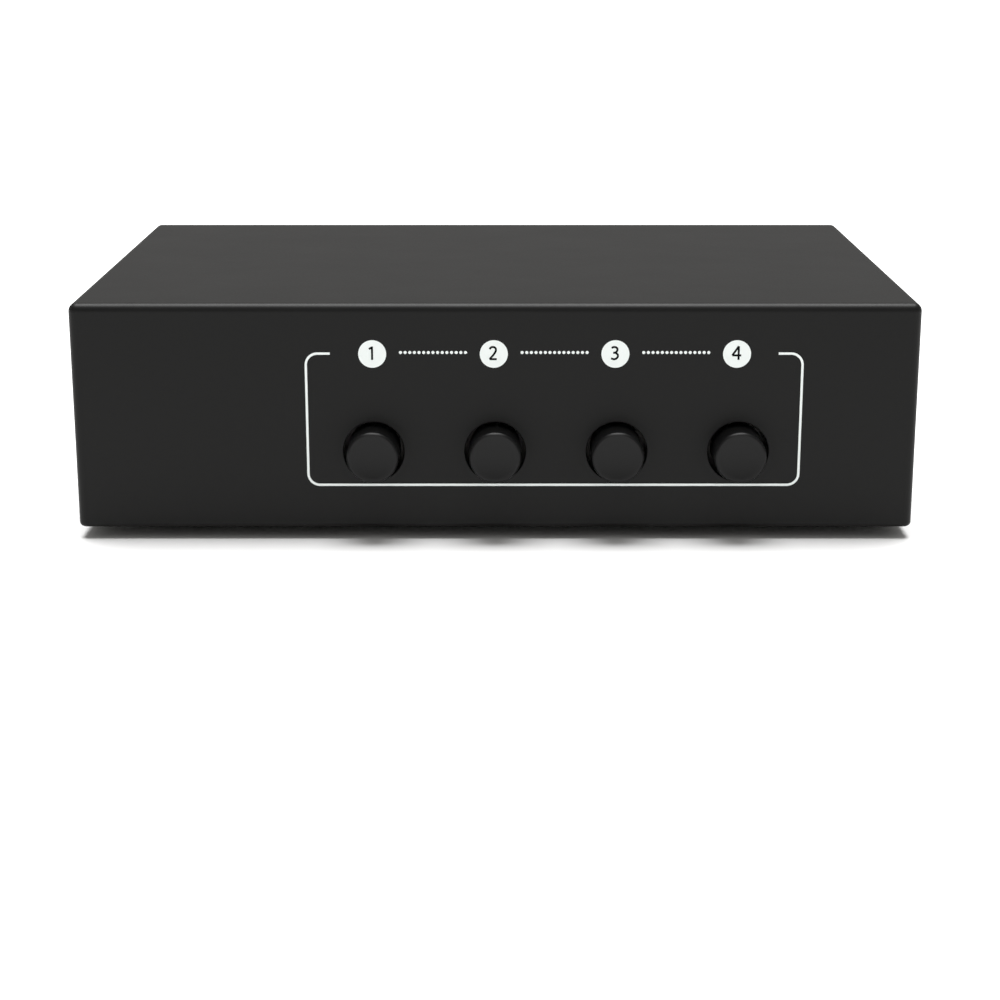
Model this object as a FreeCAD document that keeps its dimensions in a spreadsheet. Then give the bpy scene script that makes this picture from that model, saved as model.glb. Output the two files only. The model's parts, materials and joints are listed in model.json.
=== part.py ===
import FreeCAD, Part
import math
import os
import re

import Sketcher

# Audio source selector: a folded steel box with four interlocked push-buttons in front and five groups
# of sockets behind. Millimetres, +Z up, front face towards -Y, +X to the right as seen from the front.
# The origin is on the surface that the feet stand on, in the middle of the overall box.

BUTTONS = ("1", "2", "3", "4")
SOCKETS = ("out", "1", "2", "3", "4")  # from -X to +X
PANEL_SCREW_TWIST = 25  # degrees, how far the cross of each panel screw stands from upright
RETURN_TURNS = 6  # turns of each button's spring
LATCH_TURNS = 7  # turns of the latch bar's spring

SIZES = {
    # folded sheets
    "case_depth": 92.0,  # front face to rear rim
    "end_margin": 6.75,  # outermost socket group to the cover's side
    "headroom": 2.4,  # above the phono housings
    "cover_sheet": 1.1,
    "base_sheet": 1.0,
    "bend_inside": 0.3,  # inside radius of every fold
    "edge_round": 0.8,  # rolled lower edge of the cover
    "rim_gap": 0.4,  # rear panel to the cover's rim
    "lip_depth": 5.0,  # fold along the rear panel's upper edge
    "flange_height": 10.0,  # folds along the floor's sides
    "hole_break": 0.15,  # softened rims of the button holes
    # feet
    "foot_radius": 4.5,
    "foot_height": 2.0,
    "foot_side_inset": 13.0,
    "foot_end_inset": 13.0,
    "foot_round": 0.6,
    # circuit board and its fixings
    "board_thickness": 1.6,
    "board_side_gap": 1.9,
    "board_front_gap": 8.0,
    "board_rear_gap": 0.5,
    "standoff_height": 3.0,
    "standoff_flats": 5.5,
    "standoff_inset": 6.0,
    "standoff_front": 24.0,
    "standoff_rear": 26.0,
    "spigot_radius": 2.1,
    "tail_proud": 1.2,  # pins below the board
    "tail_sheet": 0.4,
    "tail_width": 1.0,
    "tail_gap": 0.5,
    "tail_hole": 0.75,
    # screws
    "thread_fit": 0.05,  # radial clearance of every screw
    "board_screw_radius": 1.45,
    "board_screw_length": 4.2,
    "side_screw_radius": 1.25,
    "side_screw_length": 3.5,
    "side_screw_height": 6.0,
    "side_screw_inset": 20.0,
    "countersink": 0.95,
    "panel_screw_radius": 1.2,
    "panel_screw_length": 7.0,
    "panel_screw_head": 2.15,
    "panel_screw_dome": 1.4,
    "board_screw_head": 2.75,
    "board_screw_dome": 1.9,
    "head_round": 0.6,
    "cross_reach": 2.6,
    "cross_width": 0.65,
    "cross_depth": 0.8,
    # buttons
    "button_pitch": 20.2,
    "row_offset": 10.1,  # middle of the button row from the middle of the case
    "button_axis": 7.55,  # above the board
    "button_radius": 4.3,
    "button_hole": 5.05,
    "button_proud": 4.5,
    "button_length": 8.2,
    "button_travel": 3.0,
    "button_round": 0.35,
    "socket_depth": 4.0,
    "push_fit": 0.05,
    # interlocked switch bank
    "spring_pressed": 5.8,  # return spring's length with the button in
    "frame_sheet": 0.8,
    "slide_gap": 0.1,
    "stem_width": 3.0,
    "slider_width": 5.0,
    "slider_length": 18.0,
    "nose_reach": 0.9,
    "nose_height": 1.2,
    "nose_length": 2.3,
    "nose_front": 1.6,
    "window_gap": 0.15,
    "switch_width": 10.0,
    "switch_depth": 20.0,
    "switch_crown": 4.3,  # switch body above the button's axis
    "hook_height": 1.0,
    "channel_depth": 1.0,
    "channel_height": 2.8,
    "wiper_sheet": 0.4,
    "wiper_height": 2.0,
    "wiper_length": 4.0,
    "wiper_start": 5.0,
    "pin_sheet": 0.5,
    "pin_width": 0.8,
    "pin_rise": 1.2,  # above the button's axis
    "pin_gap": 0.1,
    "pin_start": 4.0,
    "pin_pitch": 6.0,
    "latch_sheet": 0.8,
    "latch_travel": 1.2,
    "latch_height": 7.0,
    "latch_overhang": 7.0,
    "latch_tab": 4.0,
    "frame_overhang": 9.0,
    "ear_overhang": 14.0,
    # springs
    "return_wire": 0.2,
    "return_radius": 2.8,
    "latch_wire": 0.15,
    "latch_radius": 1.1,
    "spring_gap": 0.02,
    # rear socket groups
    "cell_pitch": 25.3,
    "phono_offset": 4.8,  # from the middle of the group
    "screw_offset": 2.55,
    "jack_offset": 7.15,
    "phono_axis": 8.0,  # lower phono socket above the board
    "phono_spacing": 14.0,
    "phono_proud": 9.0,
    "housing_width": 12.0,
    "housing_depth": 9.0,
    "housing_crown": 5.5,
    "housing_ear": 3.2,
    "ear_height": 7.0,
    "ear_depth": 8.0,
    "collar_radius": 5.4,
    "collar_proud": 0.7,
    "collar_step": 4.65,
    "step_proud": 1.5,
    "collar_round": 0.2,
    "panel_gap": 0.2,  # around the collars and bushings
    "shell_radius": 4.15,
    "shell_wall": 1.05,
    "shell_shoulder": 0.25,  # seats on the collar
    "lip_round": 0.5,
    "socket_fit": 0.05,
    "insert_recess": 0.6,
    "pin_hole": 1.9,
    "pin_hole_depth": 6.5,
    "chamber_radius": 2.3,
    "sleeve_wall": 0.55,
    "jack_axis": 4.5,
    "jack_width": 6.4,
    "jack_crown": 3.2,
    "jack_depth": 11.0,
    "jack_proud": 1.9,
    "jack_bushing": 2.45,
    "jack_bore": 1.8,
    "jack_throat": 4.0,  # round bore behind the panel's outer face
    "jack_round": 0.3,
    "chamber_length": 4.5,
    "chamber_width": 4.8,
    "leaf_sheet": 0.3,
    "leaf_gap": 0.1,
    "leaf_inset": 0.9,  # from the ends of the chamber
}

# Places and sizes that follow from the driving dimensions
PLACES = {
    "case_width": "5 * cell_pitch + 2 * end_margin",
    "half_inside": "case_width / 2 - cover_sheet",
    "front": "button_proud - (button_proud + case_depth + phono_proud) / 2",
    "back": "front + case_depth",
    "floor_top": "foot_height + base_sheet",
    "board_low": "floor_top + standoff_height",
    "board_top": "board_low + board_thickness",
    "low_phono": "board_top + phono_axis",
    "high_phono": "low_phono + phono_spacing",
    "panel_screw": "low_phono + phono_spacing / 2",
    "jack_height": "board_top + jack_axis",
    "button_height": "board_top + button_axis",
    "housing_top": "high_phono + housing_crown",
    "panel_top": "housing_top + headroom + base_sheet",
    "case_top": "panel_top + rim_gap + cover_sheet",
    "case_height": "case_top - foot_height",
    "panel_half": "half_inside - rim_gap",
    "relief_half": "half_inside - base_sheet - 2 * bend_inside",
    "side_screw_z": "foot_height + side_screw_height",
    "side_hole": "side_screw_radius + thread_fit",
    "panel_hole": "panel_screw_radius + thread_fit",
    "board_hole": "board_screw_radius + thread_fit",
    "board_half": "half_inside - base_sheet - board_side_gap",
    "standoff_x": "board_half - standoff_inset",
    "foot_x": "case_width / 2 - foot_side_inset",
    "first_button": "row_offset - 1.5 * button_pitch",
    "bank_setback": "button_length - button_proud + button_travel + spring_pressed",
    "bank_front": "front + bank_setback",
    "switch_start": "frame_sheet + latch_sheet + 2 * slide_gap",
    "switch_front": "bank_front + switch_start",
    "slot_half": "slider_width / 2 + slide_gap",
    "nose_side": "stem_width / 2 + nose_reach + window_gap",
    "stem_side": "stem_width / 2 + window_gap",
    "spring_rest": "button_travel + spring_pressed",
    "tail_end": "board_low - tail_proud",
    "housing_rear": "base_sheet + housing_depth",
    "shell_bore": "shell_radius - shell_wall",
    "shell_stem": "shell_radius - shell_shoulder",
    "high_shell_rear": "housing_rear + 2 * tail_sheet + tail_gap",
    "low_contact_rear": "high_shell_rear + tail_gap + tail_sheet",
    "high_contact_rear": "low_contact_rear + tail_gap + tail_sheet",
    "shell_tail_x": "(shell_stem + shell_bore) / 2 - tail_width / 2",
    "insert_front": "phono_proud - insert_recess",
    "chamber_front": "insert_front - pin_hole_depth",
    "sleeve_radius": "chamber_radius - socket_fit",
    "jack_rear": "base_sheet + jack_depth",
}

doc = FreeCAD.newDocument("audio_source_selector")
sheet = doc.addObject("Spreadsheet::Sheet", "Sizes")
for row, (alias, number) in enumerate(SIZES.items(), start=1):
    sheet.set("A%d" % row, alias)
    sheet.set("B%d" % row, str(number))
    sheet.setAlias("B%d" % row, alias)
doc.recompute()


def expand(text):
    """Write the names in an expression out as cells of the sheet."""

    def swap(match):
        word = match.group()
        if word in PLACES:
            return "(" + expand(PLACES[word]) + ")"
        return "Sizes." + word if word in SIZES else word

    return re.sub(r"[a-z_]\w*", swap, text)


def bind(thing, **sizes):
    for name, text in sizes.items():
        thing.setExpression(name, expand(text))


def place(thing, x="0", y="0", z="0"):
    for axis, text in zip("xyz", (x, y, z)):
        thing.setExpression(".Placement.Base." + axis, expand(text))


def turn(thing, axis, degrees):
    thing.Placement = FreeCAD.Placement(FreeCAD.Vector(), FreeCAD.Rotation(axis, degrees))


def new_body(label, x="0", y="0", z="0"):
    body = doc.addObject("PartDesign::Body", label)
    body.Label = label
    place(body, x, y, z)
    return body


def sketch_on(body, role, lift="0"):
    """Start a sketch on one of the body's own planes, lifted along the plane's normal."""
    plane = next(item for item in body.Origin.OriginFeatures if item.Role == role)
    sketch = body.newObject("Sketcher::SketchObject", body.Label + "_sketch")
    sketch.AttachmentSupport = [(plane, "")]
    sketch.MapMode = "FlatFace"
    sketch.setExpression(".AttachmentOffset.Base.z", expand(lift))
    return sketch


def pin(sketch, geometry, vertex, point, x, y):
    """Hold one point of a sketch at two expressions."""
    for kind, start, text in (("DistanceX", point.x, x), ("DistanceY", point.y, y)):
        index = sketch.addConstraint(Sketcher.Constraint(kind, -1, 1, geometry, vertex, start))
        sketch.setExpression("Constraints[%d]" % index, expand(text))


def outline(sketch, corners):
    """Draw a closed outline whose corners are pairs of expressions."""
    first = sketch.GeometryCount
    count = len(corners)
    step = FreeCAD.Rotation(FreeCAD.Vector(0, 0, 1), 360 / count)
    points = [FreeCAD.Vector(1, 0, 0)]
    for _ in corners[1:]:
        points.append(step.multVec(points[-1]))
    for index, point in enumerate(points):
        sketch.addGeometry(Part.LineSegment(point, points[(index + 1) % count]))
    for index in range(count):
        following = first + (index + 1) % count
        sketch.addConstraint(Sketcher.Constraint("Coincident", first + index, 2, following, 1))
    for index, (x, y) in enumerate(corners):
        pin(sketch, first + index, 1, points[index], x, y)


def rectangle(sketch, left, right, low, high):
    outline(sketch, [(left, low), (right, low), (right, high), (left, high)])


def circle(sketch, x, y, radius):
    centre = FreeCAD.Vector(1, 1, 0)
    geometry = sketch.addGeometry(Part.Circle(centre, FreeCAD.Vector(0, 0, 1), 1))
    pin(sketch, geometry, 3, centre, x, y)
    index = sketch.addConstraint(Sketcher.Constraint("Radius", geometry, 1))
    sketch.setExpression("Constraints[%d]" % index, expand(radius))


def extrude(kind, body, sketch, length, reverse=False, both=False):
    feature = body.newObject("PartDesign::" + kind, body.Label + "_" + kind.lower())
    feature.Profile = sketch
    feature.Reversed = reverse
    feature.SideType = "Symmetric" if both else "One side"
    bind(feature, Length=length)
    return feature


def pad(body, sketch, length, **options):
    return extrude("Pad", body, sketch, length, **options)


def pocket(body, sketch, length, **options):
    return extrude("Pocket", body, sketch, length, **options)


def turned(body, corners, role="XY_Plane"):
    """Turn an outline about the sketch's vertical axis: Y on the XY plane, Z on the XZ plane."""
    sketch = sketch_on(body, role)
    outline(sketch, corners)
    feature = body.newObject("PartDesign::Revolution", body.Label + "_turned")
    feature.Profile = sketch
    feature.ReferenceAxis = (sketch, ["V_Axis"])
    feature.Angle = 360
    return feature


def repeat(body, feature, pitch, count, axis="H_Axis"):
    """Repeat one feature along an axis of its own sketch."""
    pattern = body.newObject("PartDesign::LinearPattern", body.Label + "_row")
    pattern.Originals = [feature]
    pattern.Direction = (feature.Profile[0], [axis])
    pattern.Mode = "Spacing"
    pattern.Occurrences = count
    bind(pattern, Offset=pitch)
    body.Tip = pattern
    return pattern


def dress(kind, body, chosen, **sizes):
    """Round or bevel the edges of the body's last feature that the chosen test accepts."""
    doc.recompute()
    base = body.Tip
    box = base.Shape.BoundBox
    edges = enumerate(base.Shape.Edges, start=1)
    names = ["Edge%d" % number for number, edge in edges if chosen(edge, box)]
    feature = body.newObject("PartDesign::" + kind, body.Label + "_" + kind.lower())
    feature.Base = (base, names)
    bind(feature, **sizes)
    return feature


def level(edge, axis, height):
    """Tell whether an edge lies wholly at one height along an axis."""
    box = edge.BoundBox
    low, high = getattr(box, axis + "Min"), getattr(box, axis + "Max")
    return abs(low - height) < 1e-4 and abs(high - height) < 1e-4


def is_ring(edge, radius):
    return edge.isClosed() and abs(edge.Length - 2 * math.pi * radius) < 1e-3


def group(label, pieces):
    compound = doc.addObject("Part::Compound", label)
    compound.Label = label
    compound.Links = pieces
    return compound


def cut_cross(body, depth="cross_depth"):
    """Cut a cross recess into a screw's head, down from the body's XY plane."""
    sketch = sketch_on(body, "XY_Plane")
    reach = "cross_reach / 2"
    half = "cross_width / 2"
    arm = [(reach, half), (half, half), (half, reach)]
    corners = []
    for turn_index in range(4):
        for x, y in arm:
            for _ in range(turn_index):
                x, y = "-(" + y + ")", x
            corners.append((x, y))
    outline(sketch, corners)
    pocket(body, sketch, depth)


def pan_screw(label, shank, length, head, dome):
    """A pan head screw along the body's Z axis, its head's top at zero."""
    body = new_body(label)
    seat = "-(" + dome + ")"
    tip = "-(" + dome + " + " + length + ")"
    corners = [("0", "0"), (head, "0"), (head, seat), (shank, seat), (shank, tip), ("0", tip)]
    turned(body, corners, role="XZ_Plane")
    dress("Fillet", body, lambda edge, box: level(edge, "Z", box.ZMax), Radius="head_round")
    cut_cross(body)
    return body


def flush_screw(label):
    """A countersunk screw along the body's Z axis, its head's top at zero."""
    body = new_body(label)
    head = "side_screw_radius + countersink"
    tip = "-side_screw_length"
    neck = "-countersink"
    corners = [("0", "0"), (head, "0"), ("side_screw_radius", neck), ("side_screw_radius", tip), ("0", tip)]
    turned(body, corners, role="XZ_Plane")
    cut_cross(body)
    return body


def make_cover():
    body = new_body("cover", y="front", z="foot_height")
    block = sketch_on(body, "XY_Plane")
    rectangle(block, "-case_width / 2", "case_width / 2", "0", "case_depth")
    pad(body, block, "case_height")

    def is_fold(edge, box):
        folded = level(edge, "Z", box.ZMax) or level(edge, "Y", box.YMin)
        return folded and not level(edge, "Y", box.YMax) and not level(edge, "Z", box.ZMin)

    dress("Fillet", body, is_fold, Radius="bend_inside + cover_sheet")

    def is_lower_edge(edge, box):
        return level(edge, "Z", box.ZMin) and not level(edge, "Y", box.YMax)

    dress("Fillet", body, is_lower_edge, Radius="edge_round")
    hollow = sketch_on(body, "XY_Plane")
    rectangle(hollow, "-half_inside", "half_inside", "cover_sheet", "case_depth + rim_gap")
    pocket(body, hollow, "case_height - cover_sheet", reverse=True)

    def is_inner_fold(edge, box):
        inside = sheet.get("cover_sheet")
        at_wall = abs(edge.BoundBox.XMax - box.XMax) > 0.9 * inside
        at_wall = at_wall and abs(edge.BoundBox.XMin - box.XMin) > 0.9 * inside
        corner = level(edge, "Z", box.ZMax - inside) or level(edge, "Y", box.YMin + inside)
        return corner and at_wall and not level(edge, "Y", box.YMax) and not level(edge, "Z", box.ZMin)

    dress("Fillet", body, is_inner_fold, Radius="bend_inside")
    hole = sketch_on(body, "XZ_Plane")
    circle(hole, "first_button", "button_height - foot_height", "button_hole")
    cut = pocket(body, hole, "2 * cover_sheet")
    repeat(body, cut, "button_pitch", len(BUTTONS))
    rim = sheet.get("button_hole")
    dress("Fillet", body, lambda edge, box: is_ring(edge, rim) and level(edge, "Y", box.YMin),
          Radius="hole_break")
    fixing = sketch_on(body, "YZ_Plane")
    for y in ("side_screw_inset", "case_depth - side_screw_inset"):
        circle(fixing, y, "side_screw_height", "side_hole")
    pocket(body, fixing, "2 * case_width", both=True)
    hole_size = sheet.get("side_screw_radius") + sheet.get("thread_fit")

    def is_outer_rim(edge, box):
        outside = level(edge, "X", box.XMin) or level(edge, "X", box.XMax)
        return is_ring(edge, hole_size) and outside

    dress("Chamfer", body, is_outer_rim, Size="countersink")
    return body


def make_base_tray():
    body = new_body("base_tray", y="front", z="foot_height")
    floor = sketch_on(body, "XY_Plane")
    shoulder = "case_depth - 2 * (bend_inside + base_sheet)"
    outline(floor, [
        ("-half_inside", "cover_sheet + rim_gap"), ("half_inside", "cover_sheet + rim_gap"),
        ("half_inside", shoulder), ("relief_half", shoulder), ("relief_half", "case_depth"),
        ("-relief_half", "case_depth"), ("-relief_half", shoulder), ("-half_inside", shoulder),
    ])
    pad(body, floor, "base_sheet")
    wall = sketch_on(body, "XY_Plane")
    rectangle(wall, "-panel_half", "panel_half", "case_depth - base_sheet", "case_depth")
    pad(body, wall, "panel_top - foot_height")
    lip = sketch_on(body, "XY_Plane", "panel_top - foot_height - base_sheet")
    rectangle(lip, "-panel_half", "panel_half", "case_depth - lip_depth", "case_depth")
    pad(body, lip, "base_sheet")
    flanges = sketch_on(body, "XY_Plane")
    for side in ("-1", "1"):
        near, far = side + " * half_inside", side + " * (half_inside - base_sheet)"
        rectangle(flanges, near, far, "cover_sheet + rim_gap", shoulder)
    pad(body, flanges, "flange_height")
    thickness = sheet.get("base_sheet")

    def is_rear_fold(edge, box):
        return level(edge, "Y", box.YMax) and (level(edge, "Z", box.ZMin) or level(edge, "Z", box.ZMax))

    def is_side_fold(edge, box):
        return level(edge, "Z", box.ZMin) and (level(edge, "X", box.XMin) or level(edge, "X", box.XMax))

    def is_inner_rear_fold(edge, box):
        corner = level(edge, "Z", box.ZMin + thickness) or level(edge, "Z", box.ZMax - thickness)
        return corner and level(edge, "Y", box.YMax - thickness)

    def is_inner_side_fold(edge, box):
        side = level(edge, "X", box.XMin + thickness) or level(edge, "X", box.XMax - thickness)
        return side and level(edge, "Z", box.ZMin + thickness)

    dress("Fillet", body, is_rear_fold, Radius="bend_inside + base_sheet")
    dress("Fillet", body, is_side_fold, Radius="bend_inside + base_sheet")
    dress("Fillet", body, is_inner_rear_fold, Radius="bend_inside")
    dress("Fillet", body, is_inner_side_fold, Radius="bend_inside")
    sockets = sketch_on(body, "XZ_Plane", "-case_depth")
    first = "-2 * cell_pitch"
    for height in ("low_phono", "high_phono"):
        circle(sockets, first + " + phono_offset", height + " - foot_height", "collar_radius + panel_gap")
    circle(sockets, first + " - screw_offset", "panel_screw - foot_height", "panel_hole")
    circle(sockets, first + " - jack_offset", "jack_height - foot_height", "jack_bushing + panel_gap")
    cut = pocket(body, sockets, "2 * base_sheet", reverse=True)
    repeat(body, cut, "cell_pitch", len(SOCKETS))
    fixing = sketch_on(body, "YZ_Plane")
    for y in ("side_screw_inset", "case_depth - side_screw_inset"):
        circle(fixing, y, "side_screw_height", "side_hole")
    pocket(body, fixing, "2 * case_width", both=True)
    clinched = sketch_on(body, "XY_Plane")
    for x, y in standoff_places("0"):
        circle(clinched, x, y, "spigot_radius + thread_fit")
    pocket(body, clinched, "2 * base_sheet", reverse=True)
    return body


def standoff_places(origin):
    """Places of the four standoffs, with Y counted from the given front face."""
    rows = (origin + " + standoff_front", origin + " + case_depth - standoff_rear")
    return [(side + " * standoff_x", row) for side in ("-1", "1") for row in rows]


def make_feet():
    body = new_body("feet", y="front")
    pads = sketch_on(body, "XY_Plane")
    for side in ("-1", "1"):
        for y in ("foot_end_inset", "case_depth - foot_end_inset"):
            circle(pads, side + " * foot_x", y, "foot_radius")
    pad(body, pads, "foot_height")
    dress("Fillet", body, lambda edge, box: level(edge, "Z", box.ZMin), Radius="foot_round")
    return body


def make_standoffs():
    body = new_body("board_standoffs", y="front", z="floor_top")
    hexagons = sketch_on(body, "XY_Plane")
    for x, y in standoff_places("0"):
        corners = []
        for index in range(6):
            arm = "standoff_flats / sqrt(3) * %s(%d deg)"
            corners.append((x + " + " + arm % ("cos", 60 * index), y + " + " + arm % ("sin", 60 * index)))
        outline(hexagons, corners)
    pad(body, hexagons, "standoff_height")
    spigots = sketch_on(body, "XY_Plane")
    for x, y in standoff_places("0"):
        circle(spigots, x, y, "spigot_radius")
    pad(body, spigots, "base_sheet", reverse=True)
    threads = sketch_on(body, "XY_Plane")
    for x, y in standoff_places("0"):
        circle(threads, x, y, "board_hole")
    pocket(body, threads, "2 * (standoff_height + base_sheet)", both=True)
    return body


def tail_places():
    """Each pin below the rear sockets: X from the phono axis, Y from the rear panel's outer face."""
    middle = " + tail_sheet / 2"
    return [
        ("shell_tail_x", "-high_shell_rear" + middle),
        ("-shell_tail_x", "-(housing_rear + tail_sheet)" + middle),
        ("0", "-low_contact_rear" + middle),
        ("0", "-high_contact_rear" + middle),
    ]


def leaf_places():
    """Each jack leaf: X from the jack's axis, Y from the rear panel's outer face."""
    side = "jack_bore + leaf_gap + leaf_sheet / 2"
    return [
        ("-(" + side + ")", "-(jack_throat + chamber_length / 2)"),
        (side, "-(jack_throat + chamber_length - leaf_inset)"),
        ("0", "-(jack_throat + leaf_inset)"),
    ]


def make_board():
    body = new_body("circuit_board", y="front", z="board_low")
    slab = sketch_on(body, "XY_Plane")
    rectangle(slab, "-board_half", "board_half", "board_front_gap",
              "case_depth - base_sheet - board_rear_gap")
    pad(body, slab, "board_thickness")
    fixings = sketch_on(body, "XY_Plane")
    for x, y in standoff_places("0"):
        circle(fixings, x, y, "board_hole")
    pocket(body, fixings, "2 * board_thickness", reverse=True)
    rear = sketch_on(body, "XY_Plane")
    for x, y in tail_places():
        circle(rear, "-2 * cell_pitch + phono_offset + " + x, "case_depth + " + y, "tail_hole")
    for x, y in leaf_places():
        circle(rear, "-2 * cell_pitch - jack_offset + " + x, "case_depth + " + y, "tail_hole")
    cut = pocket(body, rear, "2 * board_thickness", reverse=True)
    repeat(body, cut, "cell_pitch", len(SOCKETS))
    switch = sketch_on(body, "XY_Plane")
    for x, y in pin_places():
        circle(switch, "first_button + " + x, "bank_setback + switch_start + " + y, "tail_hole")
    cut = pocket(body, switch, "2 * board_thickness", reverse=True)
    repeat(body, cut, "button_pitch", len(BUTTONS))
    return body


def pin_places():
    """Each fixed pin of a switch: X from the button's axis, Y from the switch body's front."""
    side = "slider_width / 2 + wiper_sheet + pin_gap + pin_sheet / 2"
    rows = ["pin_start + %d * pin_pitch" % index for index in range(3)]
    return [(sign + " * (" + side + ")", row) for sign in ("-1", "1") for row in rows]


def make_board_screws():
    screws = []
    for index, (x, y) in enumerate(standoff_places("front"), start=1):
        screw = pan_screw("board_screw_%d" % index, "board_screw_radius", "board_screw_length",
                          "board_screw_head", "board_screw_dome")
        place(screw, x, y, "board_top + board_screw_dome")
        screws.append(screw)
    return group("board_screws", screws)


def make_case_screws():
    screws = []
    for side, degrees in (("-1", -90), ("1", 90)):
        for y in ("front + side_screw_inset", "back - side_screw_inset"):
            screw = flush_screw("case_screw_%d" % (len(screws) + 1))
            turn(screw, FreeCAD.Vector(0, 1, 0), degrees)
            place(screw, side + " * case_width / 2", y, "side_screw_z")
            screws.append(screw)
    return group("case_screws", screws)


def make_panel_screws():
    screws = []
    outward = FreeCAD.Rotation(FreeCAD.Vector(1, 0, 0), -90)
    twist = FreeCAD.Rotation(FreeCAD.Vector(0, 0, 1), PANEL_SCREW_TWIST)
    for name in SOCKETS:
        screw = pan_screw("panel_screw_" + name, "panel_screw_radius", "panel_screw_length",
                          "panel_screw_head", "panel_screw_dome")
        screw.Placement = FreeCAD.Placement(FreeCAD.Vector(), outward.multiply(twist))
        place(screw, cell_x(name) + " - screw_offset", "back + panel_screw_dome", "panel_screw")
        screws.append(screw)
    return group("panel_screws", screws)


def cell_x(name):
    return "%d * cell_pitch" % (SOCKETS.index(name) - 2)


def button_x(name):
    return "first_button + %d * button_pitch" % BUTTONS.index(name)


def make_button(name):
    body = new_body("button_" + name, button_x(name), "front", "button_height")
    rear = "button_length - button_proud"
    turned(body, [("0", "-button_proud"), ("button_radius", "-button_proud"), ("button_radius", rear),
                  ("0", rear)])
    dress("Fillet", body, lambda edge, box: level(edge, "Y", box.YMin), Radius="button_round")
    socket = sketch_on(body, "XZ_Plane", "-(" + rear + ")")
    half = "stem_width / 2 + push_fit"
    rectangle(socket, "-(" + half + ")", half, "-(" + half + ")", half)
    pocket(body, socket, "socket_depth", reverse=True)
    return body


def make_plunger(name):
    body = new_body("plunger_" + name, button_x(name), "bank_front", "button_height")
    stem_front = "spring_rest + socket_depth"
    shoulder = "switch_start + slide_gap"
    stem = sketch_on(body, "XZ_Plane", stem_front)
    half = "stem_width / 2"
    rectangle(stem, "-" + half, half, "-" + half, half)
    pad(body, stem, stem_front + " + " + shoulder, reverse=True)
    slider = sketch_on(body, "XZ_Plane", "-(" + shoulder + ")")
    half = "slider_width / 2"
    rectangle(slider, "-" + half, half, "-" + half, half)
    pad(body, slider, "slider_length", reverse=True)
    nose = sketch_on(body, "XY_Plane")
    edge = "-stem_width / 2"
    tip = edge + " - nose_reach"
    rear = "nose_length - nose_front"
    outline(nose, [(edge, rear), (edge, "-nose_front"), (tip, "nose_length / 2 - nose_front"), (tip, rear)])
    pad(body, nose, "nose_height", both=True)
    return body


def make_wiper(name):
    body = new_body("wiper_" + name, button_x(name), "switch_front + wiper_start", "button_height")
    clips = sketch_on(body, "XZ_Plane")
    near, far = "slider_width / 2", "(slider_width / 2 + wiper_sheet)"
    for side in ("-1", "1"):
        rectangle(clips, side + " * " + near, side + " * " + far, "-wiper_height / 2", "wiper_height / 2")
    pad(body, clips, "wiper_length", reverse=True)
    return body


def make_switch_body(name):
    body = new_body("switch_body_" + name, button_x(name), "switch_front", "board_top")
    block = sketch_on(body, "XY_Plane")
    rectangle(block, "-switch_width / 2", "switch_width / 2", "0", "switch_depth")
    pad(body, block, "button_axis + switch_crown")
    slot = sketch_on(body, "XZ_Plane")
    rectangle(slot, "-slot_half", "slot_half", "button_axis - slot_half", "button_axis + slot_half")
    pocket(body, slot, "2 * switch_depth")
    channel = sketch_on(body, "XZ_Plane")
    reach = "slot_half + channel_depth"
    rectangle(channel, "-(" + reach + ")", reach, "button_axis - channel_height / 2",
              "button_axis + channel_height / 2")
    pocket(body, channel, "2 * switch_depth")
    pins = sketch_on(body, "XY_Plane")
    half_x, half_y = "pin_sheet / 2 + push_fit", "pin_width / 2 + push_fit"
    for x, y in pin_places():
        rectangle(pins, x + " - (" + half_x + ")", x + " + " + half_x, y + " - (" + half_y + ")",
                  y + " + " + half_y)
    pocket(body, pins, "button_axis + pin_rise + push_fit", reverse=True)
    return body


def make_switch_pins():
    pins = []
    for name in BUTTONS:
        body = new_body("switch_pins_" + name, button_x(name), "switch_front", "tail_end")
        blades = sketch_on(body, "XY_Plane")
        for x, y in pin_places():
            rectangle(blades, x + " - pin_sheet / 2", x + " + pin_sheet / 2", y + " - pin_width / 2",
                      y + " + pin_width / 2")
        pad(body, blades, "button_height + pin_rise - tail_end")
        pins.append(body)
    return group("switch_pins", pins)


def make_switch_frame():
    body = new_body("switch_frame", "first_button", "bank_front", "board_top")
    row = "3 * button_pitch"
    right = row + " + frame_overhang"
    top = "button_axis + switch_crown + frame_sheet"
    plate = sketch_on(body, "XZ_Plane")
    rectangle(plate, "-ear_overhang", right, "0", top)
    pad(body, plate, "frame_sheet", reverse=True)
    roof = sketch_on(body, "XY_Plane", "button_axis + switch_crown")
    rear = "switch_start + switch_depth + frame_sheet"
    rectangle(roof, "-frame_overhang", right, "0", rear)
    pad(body, roof, "frame_sheet")
    hook = sketch_on(body, "XY_Plane", "button_axis + switch_crown")
    rectangle(hook, "-frame_overhang", right, rear + " - frame_sheet", rear)
    pad(body, hook, "hook_height", reverse=True)
    ear = sketch_on(body, "XY_Plane")
    rectangle(ear, "-ear_overhang", "frame_sheet - ear_overhang", "0", "frame_sheet + latch_tab")
    pad(body, ear, top)
    window = sketch_on(body, "XZ_Plane")
    rectangle(window, "-nose_side", "stem_side", "button_axis - stem_side", "button_axis + stem_side")
    cut = pocket(body, window, "2 * frame_sheet")
    repeat(body, cut, "button_pitch", len(BUTTONS))
    return body


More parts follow.
